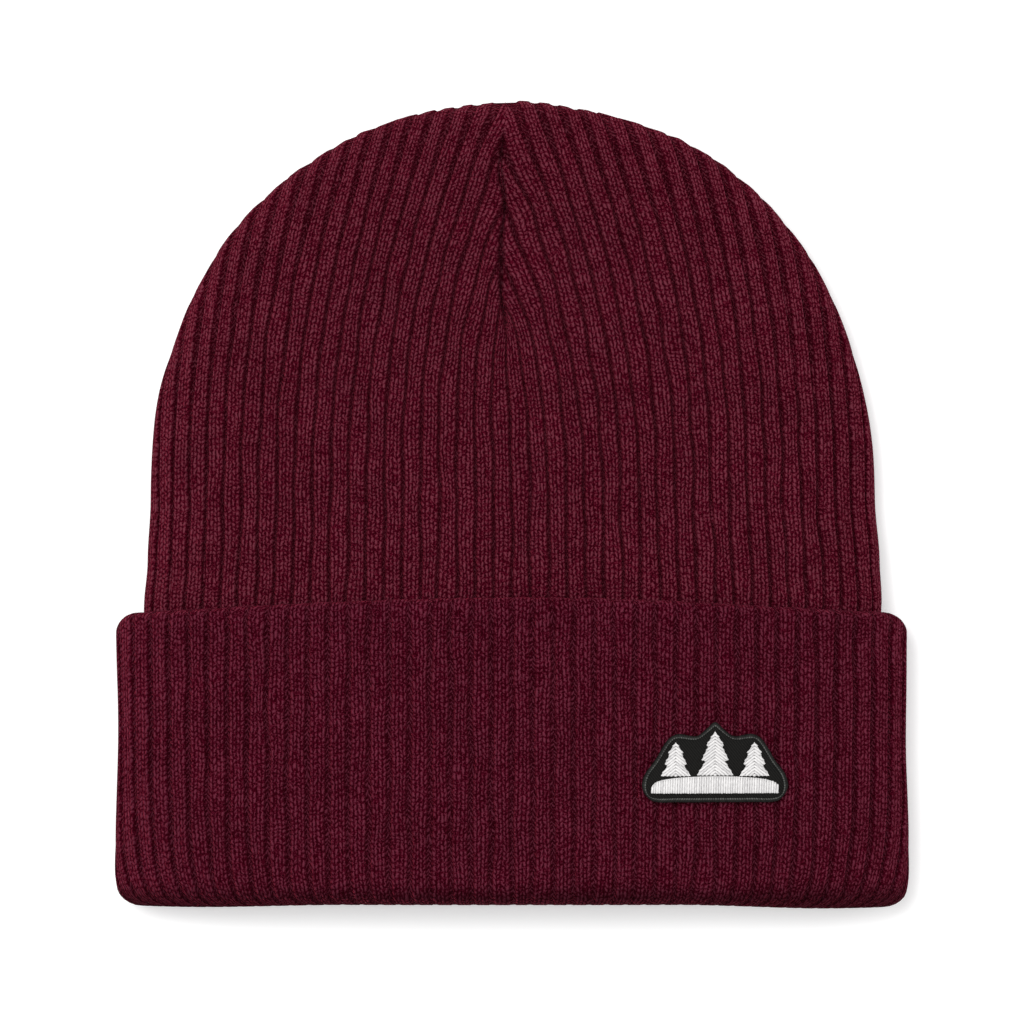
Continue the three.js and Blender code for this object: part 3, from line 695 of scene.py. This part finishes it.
def cuff_line(turn, inset, level):
    """Points of one row round the cuff, in millimetres. turn is the share of the way round."""
    share = np.clip(level / cuff_height, 0, 1)
    depth = cuff_depth * follow(cuff_run, "depth", share)
    half = cuff_half_width * follow(cuff_run, "width", share)
    half = half - inset * (foot_width + side_slack) / foot_width
    x, z, length, side = half_section(
        half, inset - pressed_flat, depth - inset, depth * cuff_widest,
        lambda x, exponent: np.sqrt(np.maximum(0, 1 - np.minimum(1, x / half) ** exponent)),
    )
    on_right = turn <= 0.5
    at = np.where(on_right, turn, 1 - turn) * 2 * length[-1]
    # The lean is strongest at the corners.
    reach = np.where(at < side, (at / side) ** 2.5, 1 - smooth((at - side) / 45))
    at = at - rim_lean * reach * math.exp(-max(level, 0) / rim_lean_height)
    here_x = np.interp(at, length, x) * np.where(on_right, 1, -1)
    here_z = np.interp(at, length, z)
    rim = corner_rise(here_x, half, rim_corner_radii)
    edge = corner_rise(here_x, half, edge_corner_radii)
    bow = edge_bow * np.maximum(0, 1 - (here_x / half) ** 2) ** 1.2 * (here_z > depth * cuff_widest)
    bow = bow * smooth((here_z - depth * cuff_widest) / 8) * share**2
    lifted = rim + (level / cuff_height) * (cuff_height + bow - edge - rim)
    hang = 0.3 - np.where(here_x < 0, *rim_hang) * smooth((np.abs(here_x) - 45) / 45)
    lifted = lifted + hang * math.exp(-max(level, 0) / 4)
    return np.stack([here_x, lifted - hat_length / 2, here_z], -1)


cuff_ribs = 2 * round((2 * cuff_half_width + cuff_depth * 0.7) / cuff_rib_pitch)
cuff_legs = np.arange(0, cuff_ribs * legs_per_rib + 1e-6, 0.25)
cuff_turn = legs_to_rib(cuff_legs, cuff_sunk_share) / cuff_ribs
fold = foot_width / 2
roll = cuff_wall / 2

# The rows run from the inner face, over the free edge, down the outer face, round the rim and up inside.
# groove: the share of the rib's full relief left there.
cuff_rows = [{"inset": cuff_wall, "level": level, "groove": 0.0} for level in (foot_height, 40, 70)]
for angle in np.radians([-15, 5, 25, 45, 65, 85, 115, 135, 155, 175]):
    cuff_rows.append({
        "inset": roll * (1 + math.cos(angle)),
        "level": cuff_height - roll + roll * math.sin(angle),
        "groove": edge_groove,
    })
for level in (78.2, 77.2, 76.2, 75, 73.5, 72, 70, *np.arange(67.5, 10, -2.6), 9, 7.5, 6, 5):
    from_edge = smooth((cuff_height - 2.2 - level) / 4.5)
    groove = edge_groove + (1 - edge_groove) * from_edge
    groove = groove * (rim_groove + (1 - rim_groove) * smooth((level - 1) / 10))
    cuff_rows.append({"inset": 0.0, "level": float(level), "groove": groove})
for angle in np.radians(np.arange(0, 181, 18)):
    cuff_rows.append({
        "inset": fold * (1 - math.cos(angle)),
        "level": fold * (1 - math.sin(angle)),
        "groove": rim_groove,
    })
cuff_rows.append({"inset": foot_width, "level": 6.5, "groove": 0.25})
cuff_rows.append({"inset": foot_width, "level": foot_height, "groove": 0.2})

cuff_points = np.stack([cuff_line(cuff_turn, row["inset"], row["level"]) for row in cuff_rows], 1)
cuff_points[-1] = cuff_points[0]
cuff_normals = weld_normals(cuff_points, outward(cuff_points, -1))
cuff_groove = np.array([row["groove"] for row in cuff_rows])
cuff_relief = rib_relief(cuff_legs, cuff_groove_depth)[:, None] * cuff_groove
cuff_relief = cuff_relief * (0.35 + 0.65 * np.abs(cuff_normals[..., 2]))
cuff_relief = cuff_relief * (0.9 + 0.25 * unevenness(rib_waves, cuff_points, 0))
cuff_level = cuff_points[..., 1] + hat_length / 2
cuff_swell = cuff_swell_most * unevenness(slow_waves, cuff_points, 1) * smooth((cuff_level - 1) / 12)
cuff_swell = cuff_swell - 0.15 - 0.3 * smooth((5 - cuff_level) / 5)
# The badge's stitching holds the knit down a little under it and close round it.
from_badge = np.hypot((cuff_points[..., 0] - badge_x) / 21, (cuff_level - badge_level - 1.5) / 15)
cuff_swell = cuff_swell - badge_press * smooth((1.3 - from_badge) / 0.4) * (cuff_points[..., 2] > 12)
cuff_swell = cuff_swell * (cuff_points[..., 2] >= touch_height)
cuff_step = np.linalg.norm(np.diff(cuff_points, axis=1), axis=-1).mean(0)
cuff_courses = -np.concatenate([[0], np.cumsum(cuff_step)]) / cuff_course_pitch
cuff_points = cuff_points + cuff_normals * (cuff_swell - cuff_relief)[..., None]
cuff_sway = cuff_sway_most * unevenness(rib_waves, cuff_points, 1)
cuff_points[..., 0] += cuff_sway * smooth((cuff_half_width - 4 - np.abs(cuff_points[..., 0])) / 20)
cuff_points[..., 2] = np.maximum(cuff_points[..., 2], lowest)
cuff_points[-1] = cuff_points[0]
columns, rows = cuff_points.shape[:2]
cuff_lip = np.arange(columns - 1) * rows
cuff_faces = np.concatenate([
    grid_faces(columns, rows, 0, True),
    np.stack([cuff_lip, cuff_lip + rows, cuff_lip + 2 * rows - 1, cuff_lip + rows - 1], -1),
])
cuff_counts = np.stack(np.broadcast_arrays(cuff_legs[:, None], cuff_courses), -1)
# Painted shade along the turned rim: darker towards the bottom.
cuff_painted_shade = rim_painted_shade * smooth((8 - cuff_level) / 6.5)
# Towards its sides painted shade darkens the cuff's sunk columns more.
to_side = smooth((np.abs(cuff_points[..., 0]) - 35) / 55)
sunk_shade_at_side = side_painted_shade * to_side * down_in_sunk(cuff_legs)[:, None]
cuff_painted_shade = cuff_painted_shade + sunk_shade_at_side * (1 - cuff_painted_shade)
# Painted shade between strands, the yarn's wine, painted highlight on their backs, the sunk columns' height
# and their painted dimming.
cuff_yarn = acrylic_rib_knit("acrylic_rib_knit_cuff", "#2c0009", "#430215", "#622636", 0.85, 0.75)
knit_piece(
    "cuff_turned_up", cuff_points.reshape(-1, 3), cuff_faces, cuff_counts.reshape(-1, 2),
    cuff_painted_shade.ravel(), cuff_yarn, "cuff",
)


# THE BADGE'S CLOTH
# A shaped patch of black polyester twill, laid on the front of the cuff near its right side.
# The badge is cut in one outline round its motif, and its edging sews it down.
badge_margin = 2.5
cloth_inset = 1.3
cloth_low, cloth_high = 0.3, 1.5
tree_spacing = 10.8
middle_tree = (10.0, 12.0)  # width, height
side_tree = (8.2, 9.2)
bank_width = 35.0
bank_height = 3.4
bank_rise = 1.2
bank_foot = -8.3
twill_pitch = 0.62  # drawn coarser than real twill, about 0.4, so that it shows at all


def on_badge(flat, rise):
    """Lays points of the flat motif, about the badge's middle, on the front of the cuff, raised by rise."""
    x = badge_x + flat[..., 0]
    level = badge_level + flat[..., 1]
    depth = cuff_depth * follow(cuff_run, "depth", level / cuff_height)
    half = cuff_half_width * follow(cuff_run, "width", level / cuff_height)
    widest = depth * cuff_widest
    front = widest + (depth - widest) * np.sqrt(np.maximum(0, 1 - (np.abs(x) / half) ** front_exponent))
    return np.stack([x, level - hat_length / 2, front + rise], -1)


def tree_foot(x):
    """How high on the badge a tree stands: on the snow bank's bowed top."""
    return bank_foot + bank_height + bank_rise * (1 - (x / (bank_width / 2)) ** 2) + 0.3


def closed_curve(corners, count):
    """A smooth closed line through the corners, as count points at even steps."""
    corners = np.array(corners, float)
    line = []
    for i in range(len(corners)):
        p = [corners[(i + k - 1) % len(corners)] for k in range(4)]
        t = np.cumsum([0] + [np.linalg.norm(p[k + 1] - p[k]) ** 0.5 for k in range(3)])
        u = np.linspace(t[1], t[2], 40, endpoint=False)[:, None]
        once = [((t[k + 1] - u) * p[k] + (u - t[k]) * p[k + 1]) / (t[k + 1] - t[k]) for k in range(3)]
        twice = [
            ((t[k + 2] - u) * once[k] + (u - t[k]) * once[k + 1]) / (t[k + 2] - t[k]) for k in range(2)
        ]
        line.append(((t[2] - u) * twice[0] + (u - t[1]) * twice[1]) / (t[2] - t[1]))
    line = np.concatenate(line)
    line = np.vstack([line, line[:1]])
    run = np.concatenate([[0], np.cumsum(np.linalg.norm(np.diff(line, axis=0), axis=1))])
    at = np.arange(count) / count * run[-1]
    return np.stack([np.interp(at, run, line[:, 0]), np.interp(at, run, line[:, 1])], -1), run[-1]


def badge_outline(inset, count):
    """The badge's outline: it clears the motif by the margin, in one round sweep over the three trees."""
    m = badge_margin - inset
    side_top = tree_foot(tree_spacing) + side_tree[1]
    middle_top = tree_foot(0) + middle_tree[1]
    half = bank_width / 2
    right = [
        (0, bank_foot - m),
        (9.625, bank_foot - m),
        (half, bank_foot - 0.8 * m),
        (half + m, bank_foot + 0.6 * m),
        (half + 0.7 * m, bank_foot + bank_height + 0.7 * m),
        (tree_spacing + side_tree[0] * 0.42 + m, side_top - side_tree[1] * 0.55),
        (tree_spacing + 0.8 * m, side_top + 0.45 * m),
        (tree_spacing - 0.2 * m, side_top + m),
        (tree_spacing * 0.46, side_top + 0.8 * m),
        (0.95 * m, middle_top + 0.25 * m),
        (0, middle_top + m),
    ]
    left = [(-x, y) for x, y in right[-2:0:-1]]
    return closed_curve(right + left, count)


def filled(outline, grain):
    """Triangles that fill an outline, with points inside it every grain millimetres."""
    inner = []
    low, high = outline.min(0), outline.max(0)
    following = np.roll(outline, -1, 0)
    for x in np.arange(low[0] + grain / 2, high[0], grain):
        for y in np.arange(low[1] + grain / 2, high[1], grain):
            crosses = (outline[:, 1] > y) != (following[:, 1] > y)
            run = np.where(crosses, following[:, 1] - outline[:, 1], 1)
            slope = (following[:, 0] - outline[:, 0]) / run
            to_right = x < outline[:, 0] + (y - outline[:, 1]) * slope
            clear = np.min(np.hypot(outline[:, 0] - x, outline[:, 1] - y)) > grain / 3
            if np.count_nonzero(crosses & to_right) % 2 and clear:
                inner.append((x, y))
    spots = [Vector(p) for p in outline.tolist()] + [Vector(p) for p in inner]
    ring = [(i, (i + 1) % len(outline)) for i in range(len(outline))]
    flat, _, faces, *_ = delaunay_2d_cdt(spots, ring, [], 1, 1e-5)
    return np.array([tuple(p) for p in flat]), faces


def slab(outline, grain, low, high):
    """A flat patch with its upright side: points on the curve of the cuff, and faces."""
    flat, faces = filled(outline, grain)
    top = on_badge(flat, high)
    upper = on_badge(outline, high)
    lower = on_badge(outline, low)
    first, count = len(top), len(outline)
    sides = [
        [first + i, first + count + i, first + count + (i + 1) % count, first + (i + 1) % count]
        for i in range(count)
    ]
    return np.concatenate([top, upper, lower]), faces + sides


# Black twill: close slanting ridges with lint on them, drawn half a millimetre long to show at all.
black_twill, twill = empty_material("black_polyester_twill")
twill_place = (add(twill, "TexCoord"), "Object")
twill_cut = add(twill, "SeparateXYZ", [twill_place])
slant = add(twill, "Math", [(twill_cut, "Y"), 0.8, (twill_cut, "X")], "MULTIPLY_ADD")
slant = add(twill, "Math", [slant, 1000 / twill_pitch * 2 * math.pi / 1.28], "MULTIPLY")
ridge = add(twill, "Math", [slant], "SINE")
lint = add(twill, "TexNoise", {"Vector": twill_place, "Scale": 1800.0, "Detail": 3.0, "Roughness": 0.7})
cloth_height = add(twill, "Math", [lint, 2.0, ridge], "MULTIPLY_ADD")
cloth_tone = add(twill, "Math", [cloth_height, 0.3, 0.2], "MULTIPLY_ADD")
cloth_tone = add(twill, "ValToRGB", [cloth_tone])
for stop, black in zip(cloth_tone.color_ramp.elements, ("#060606", "#1e1d1b")):
    stop.color = linear(black)
cloth_bump = add(twill, "Bump", {"Height": cloth_height, "Strength": 0.8, "Distance": 0.00008})
cloth = add(twill, "BsdfPrincipled", {
    "Base Color": cloth_tone, "Normal": cloth_bump, "Roughness": 0.75, "Specular IOR Level": 0.12,
})
add(twill, "OutputMaterial", {"Surface": cloth})

cloth_points, cloth_faces = slab(badge_outline(cloth_inset, 220)[0], 1.0, cloth_low, cloth_high)
put_on_hat("badge_twill", cloth_points, cloth_faces, None, black_twill, "badge_backing")


# THE BADGE'S EDGING
# Black thread overlocked round the edge of the cloth, with one line of grey stitches run along it.
# It is wound close and plump, and its stitches hold the badge to the knit.
edging_width = 1.35
edging_low = 0.3
edging_stitch = 0.7
steps_per_wrap = 5
roll_middle = 1.25  # the roll of thread stands round this height
roll_rise = 0.66
wrap_rise = 0.09
edging_samples = 2400
edging_outer, edging_length = badge_outline(0, edging_samples)
edging_inner = badge_outline(edging_width, edging_samples)[0]
edging_steps = round(edging_length / edging_stitch) * steps_per_wrap
edging_at = (np.arange(edging_steps) / edging_steps * edging_samples).astype(int)
edging_outer, edging_inner = edging_outer[edging_at], edging_inner[edging_at]
wound = np.abs(np.sin(np.arange(edging_steps) / steps_per_wrap * math.pi)) ** 0.7

# The rows go over the roll of thread from its outer foot. Each has its share of the way in, its height, and
# how near the top of the roll it is, where each wrap stands up most.
edging_rows = [(0.0, edging_low, 0.0)]
for angle in np.radians(np.linspace(0, 180, 11)):
    near_top = math.sin(angle)
    edging_rows.append((0.5 - 0.5 * math.cos(angle), roll_middle + roll_rise * near_top, near_top))
edging_rows.append((1.0, roll_middle - 0.05, 0.0))
edging_points = []
for share, rise, near_top in edging_rows:
    share_in = (share + (share - 0.5) * 0.12 * (wound - 0.5))[:, None]
    flat = edging_outer * (1 - share_in) + edging_inner * share_in
    edging_points.append(on_badge(flat, rise + wrap_rise * wound * near_top))
edging_points = np.stack(edging_points, 1)
edging_points = np.concatenate([edging_points, edging_points[:1]])
edging_counts = np.stack(np.meshgrid(
    np.arange(edging_steps + 1) / steps_per_wrap, np.linspace(0, 1, len(edging_rows)), indexing="ij"
), -1)

# Black polyester thread: each wrap has its own slight tone and a low gloss, with lint drawn 0.4 mm long to
# show, and the grey run is dashed.
black_thread, wrap = empty_material("black_overlock_thread")
wrap_cut = add(wrap, "SeparateXYZ", [add(wrap, "UVMap", uv_map="stitches")])
wrap_number = add(wrap, "Math", [(wrap_cut, "X")], "FLOOR")
wrap_chance = add(wrap, "TexWhiteNoise", {"W": wrap_number}, noise_dimensions="1D")
wrap_place = (add(wrap, "TexCoord"), "Object")
wrap_lint = add(wrap, "TexNoise", {"Vector": wrap_place, "Scale": 2400.0, "Detail": 2.0})
wrap_tone = add(wrap, "Math", [wrap_lint, 0.8, wrap_chance], "MULTIPLY_ADD")
wrap_colour = add(wrap, "ValToRGB", [add(wrap, "Math", [wrap_tone, 0.55], "MULTIPLY")])
for stop, black in zip(wrap_colour.color_ramp.elements, ("#050505", "#20201d")):
    stop.color = linear(black)
from_run = add(wrap, "Math", [(wrap_cut, "Y"), 0.62], "SUBTRACT")
from_run = add(wrap, "Math", [from_run], "ABSOLUTE")
on_run = add(wrap, "Math", [from_run, 0.08], "LESS_THAN")
dash = add(wrap, "Math", [(wrap_cut, "X"), wrap_number], "SUBTRACT")
dash = add(wrap, "Math", [dash, 0.72], "LESS_THAN")
on_run = add(wrap, "Math", [on_run, dash], "MULTIPLY")
run_strength = add(wrap, "Math", [wrap_chance, 0.5, 0.45], "MULTIPLY_ADD")
on_run = add(wrap, "Math", [on_run, run_strength], "MULTIPLY")
wrap_colour = add(wrap, "Mix", {0: on_run, 6: wrap_colour, 7: linear("#5c5d5a")}, data_type="RGBA")
thread = add(wrap, "BsdfPrincipled", {
    "Base Color": (wrap_colour, "Result"), "Roughness": 0.6, "Specular IOR Level": 0.18,
})
add(wrap, "OutputMaterial", {"Surface": thread})

edging_faces = grid_faces(edging_steps + 1, len(edging_rows), 0, False)
put_on_hat(
    "badge_overlocked_edge", edging_points.reshape(-1, 3), edging_faces.tolist(),
    edging_counts.reshape(-1, 2)[edging_faces.ravel()], black_thread, "badge_border",
)


# THE FIR TREES
# Three firs in white rayon satin stitch. Each thread runs from the middle of the tree down to its edge.
# The stitches lie side by side over a flat layer of the same thread, so the edge is finely scalloped.
thread_pitch = 0.66
thread_slope = math.radians(38)
tree_tiers = 3
tier_notch = 0.52
motif_low, motif_high = 1.8, 2.6
underlay = 0.16
thread_rise = 0.24
stitch_random = np.random.default_rng(11)

# White rayon: bright and smooth, with fine lines along each thread and a soft gloss.
white_rayon, satin = empty_material("white_rayon_satin_stitch")
satin_cut = add(satin, "SeparateXYZ", [add(satin, "UVMap", uv_map="stitches")])
lines_at = add(satin, "CombineXYZ", [
    add(satin, "Math", [(satin_cut, "X"), 5.0], "MULTIPLY"),
    add(satin, "Math", [(satin_cut, "Y"), 1.1], "MULTIPLY"),
    0.0,
])
lines = add(satin, "TexNoise", {"Vector": lines_at, "Scale": 1.0, "Detail": 2.0}, noise_dimensions="2D")
satin_number = add(satin, "Math", [(satin_cut, "X")], "FLOOR")
satin_chance = add(satin, "TexWhiteNoise", {"W": satin_number}, noise_dimensions="1D")
satin_tone = add(satin, "Math", [satin_chance, 0.25, lines], "MULTIPLY_ADD")
# Between two threads there is a broken grey line of painted shade, where the shade under them would fall.
breaks = add(satin, "TexNoise", {"Vector": lines_at, "Scale": 0.9, "Detail": 1.0}, noise_dimensions="2D")
gap_painted_shade = add(satin, "Math", [(satin_cut, "X"), satin_number], "SUBTRACT")
gap_painted_shade = add(satin, "Math", [gap_painted_shade, 0.5], "SUBTRACT")
gap_painted_shade = add(satin, "Math", [gap_painted_shade], "ABSOLUTE")
for operation, value in (("SUBTRACT", 0.36), ("MAXIMUM", 0.0), ("MULTIPLY", 6.5), ("MULTIPLY", breaks)):
    gap_painted_shade = add(satin, "Math", [gap_painted_shade, value], operation)
satin_tone = add(satin, "Math", [satin_tone, gap_painted_shade], "SUBTRACT")
satin_colour = add(satin, "ValToRGB", [satin_tone])
for stop, at, white in zip(satin_colour.color_ramp.elements, (0.12, 0.75), ("#9c9a9b", "#e6e4e3")):
    stop.position, stop.color = at, linear(white)
rayon = add(satin, "BsdfPrincipled", {
    "Base Color": satin_colour, "Roughness": 0.5, "Specular IOR Level": 0.3,
})
add(satin, "OutputMaterial", {"Surface": rayon})


def edge_crossing(start, way, outline):
    """How far a line from start goes before it leaves the outline."""
    following = np.roll(outline, -1, 0)
    along = following - outline
    turn = way[0] * along[:, 1] - way[1] * along[:, 0]
    gap = outline - start
    far = (gap[:, 0] * along[:, 1] - gap[:, 1] * along[:, 0]) / np.where(turn == 0, 1e-9, turn)
    share = (gap[:, 0] * way[1] - gap[:, 1] * way[0]) / np.where(turn == 0, 1e-9, turn)
    hits = far[(turn != 0) & (far > 0.02) & (share >= 0) & (share <= 1)]
    return hits.min() if len(hits) else 0.0


def satin_piece(name, outline, threads, node):
    """A filled shape of satin stitch: a thin layer under it, and half-round threads from start to end."""
    points, faces = slab(outline, 1.2, motif_low, motif_low + underlay)
    all_points, all_faces = [points], list(faces)
    counts = [np.full((len(points), 2), 0.5)]
    start_count = len(points)
    along = np.array([0, 0.08, 0.25, 0.45, 0.65, 0.82, 0.93, 1.0])
    slim = np.array([0.75, 1, 1, 1, 1, 1, 0.9, 0.5])
    turn = np.radians(np.linspace(0, 180, 7))
    for number, (start, end, rise_at_start) in enumerate(threads):
        start, end = np.array(start), np.array(end)
        way = (end - start) / np.linalg.norm(end - start)
        across = np.array([-way[1], way[0]])
        body = np.sin(np.pi * (rise_at_start + (1 - rise_at_start) * along)) ** 0.5
        base = motif_low + 0.05 + (motif_high - motif_low - 0.3) * np.maximum(body, 0)
        middle = start + (end - start) * along[:, None]
        wide = 0.5 * thread_pitch * slim
        flat = middle[:, None] + across * (wide[:, None] * np.cos(turn))[..., None]
        rise = base[:, None] + thread_rise * np.sin(turn) * slim[:, None]
        all_points.append(on_badge(flat, rise).reshape(-1, 3))
        side = number + 0.02 + 0.96 * (0.5 - 0.5 * np.cos(turn))
        length = np.linalg.norm(end - start) * along
        counts.append(np.stack(np.broadcast_arrays(side[None], length[:, None]), -1).reshape(-1, 2))
        all_faces += grid_faces(len(along), len(turn), start_count, True).tolist()
        start_count += len(along) * len(turn)
    at_corners = np.concatenate(counts)[np.concatenate(all_faces)]
    put_on_hat(name, np.concatenate(all_points), all_faces, at_corners, white_rayon, node)


def fir_tree(name, middle, width, height, node):
    """One fir of three tiers, standing on the bank."""
    foot = tree_foot(max(0, abs(middle) - width / 2))
    right = []
    for tier in range(tree_tiers):
        spread = width / 2 * (1 - 0.8 * tier / tree_tiers)
        right.append((spread, foot + height * tier / tree_tiers + (0.02 * height if tier else 0)))
        if tier < tree_tiers - 1:
            right.append((tier_notch * spread, foot + height * (tier + 0.95) / tree_tiers))
    outline = np.array(right + [(0, foot + height)] + [(-x, y) for x, y in right[::-1]])
    threads = []
    for side in (1, -1):
        way = np.array([side * math.cos(thread_slope), -math.sin(thread_slope)])
        for top in np.arange(foot + 0.25, foot + height - 0.25, thread_pitch / math.cos(thread_slope)):
            start = np.array([0.0, top])
            reach = edge_crossing(start, way, outline) + stitch_random.uniform(0.02, 0.14)
            threads.append((start - way * 0.1, start + way * reach, 0.22))
    shift = np.array([middle, 0.0])
    threads = [(start + shift, end + shift, rise) for start, end, rise in threads]
    satin_piece(name, outline + shift, threads, node)


fir_tree("fir_left_satin", -tree_spacing, *side_tree, "tree_left")
fir_tree("fir_middle_satin", 0.0, *middle_tree, "tree_middle")
fir_tree("fir_right_satin", tree_spacing, *side_tree, "tree_right")


# THE SNOW BANK
# The bank under the trees, in the same white rayon, its threads standing upright side by side.
# It swells a little towards the middle, and its lower edge is straight.
def bank_top(x):
    """The level of the bank's top, which rounds off at both ends."""
    reach = np.minimum(np.abs(x) / (bank_width / 2), 1)
    return bank_foot + bank_height * (1 - reach**8) ** 0.25 + bank_rise * (1 - reach**2)


bank_x = np.linspace(bank_width / 2, -bank_width / 2, 120)
bank_outline = np.concatenate([
    np.stack([bank_x, bank_top(bank_x)], -1),
    np.stack([np.linspace(-bank_width / 2, bank_width / 2, 60), np.full(60, bank_foot)], -1)[1:-1],
])
bank_threads = []
for x in np.arange(-bank_width / 2 + 0.2, bank_width / 2 - 0.1, thread_pitch):
    low_end = bank_foot - stitch_random.uniform(0.0, 0.12)
    high_end = float(bank_top(x)) + stitch_random.uniform(0.0, 0.12)
    bank_threads.append(((x, low_end), (x + 0.15, high_end), 0.03))
satin_piece("snow_bank_satin", bank_outline, bank_threads, "snow_bank")


# THE TABLE, THE LIGHTS AND THE CAMERA
# A white table under broad soft light from the upper left, and a long lens looking straight down.
table_mesh = bpy.data.meshes.new("white_table")
table_mesh.from_pydata([(-3, -3, 0), (3, -3, 0), (3, 3, 0), (-3, 3, 0)], [], [(0, 1, 2, 3)])
table = bpy.data.objects.new("white_table", table_mesh)
bpy.context.scene.collection.objects.link(table)

# Matt white paint, which glows a little so that it stays white beside the hat, as in a light tent.
white_paint, paint_tree = empty_material("matt_white_paint")
paint = add(paint_tree, "BsdfPrincipled", {
    "Base Color": linear("#f8f8f8"), "Roughness": 0.9, "Specular IOR Level": 0.1,
    "Emission Color": linear("#ffffff"), "Emission Strength": 0.27,
})
add(paint_tree, "OutputMaterial", {"Surface": paint})
table_mesh.materials.append(white_paint)

sky = bpy.data.worlds.new("studio")
sky.use_nodes = True
sky.node_tree.nodes["Background"].inputs["Color"].default_value = (1, 1, 1, 1)
sky.node_tree.nodes["Background"].inputs["Strength"].default_value = 0.52
bpy.context.scene.world = sky


def soft_light(name, spot, size, power):
    """A square softbox at spot, turned to the middle of the hat."""
    lamp = bpy.data.lights.new(name, "AREA")
    lamp.size = size
    lamp.energy = power
    box = bpy.data.objects.new(name, lamp)
    box.location = spot
    box.rotation_euler = (Vector((0, 0, 0.02)) - Vector(spot)).to_track_quat("-Z", "Y").to_euler()
    bpy.context.scene.collection.objects.link(box)


soft_light("key_softbox", (-0.36, 0.32, 1.6), 0.75, 19.5)
soft_light("fill_softbox", (0.6, -0.1, 1.4), 0.8, 3.5)

# The view is 1024 pixels wide and high. A pixel is this wide on the hat at middle_height, in metres, and the
# rim lies rim_down pixels under the top of the view.
view_pixels = 1024
pixel = 0.27673 * 0.001
middle_height = 0.014
rim_down = 904.6
eye_height = 2.0
lens = bpy.data.cameras.new("long_lens")
lens.sensor_width = 36.0
lens.lens = lens.sensor_width * (eye_height - middle_height) / (view_pixels * pixel)
camera = bpy.data.objects.new("long_lens", lens)
camera.location = (0.0, (rim_down - view_pixels / 2) * pixel - hat_length / 2 * 0.001, eye_height)
bpy.context.scene.collection.objects.link(camera)
bpy.context.scene.camera = camera
bpy.context.scene.view_settings.view_transform = "Standard"
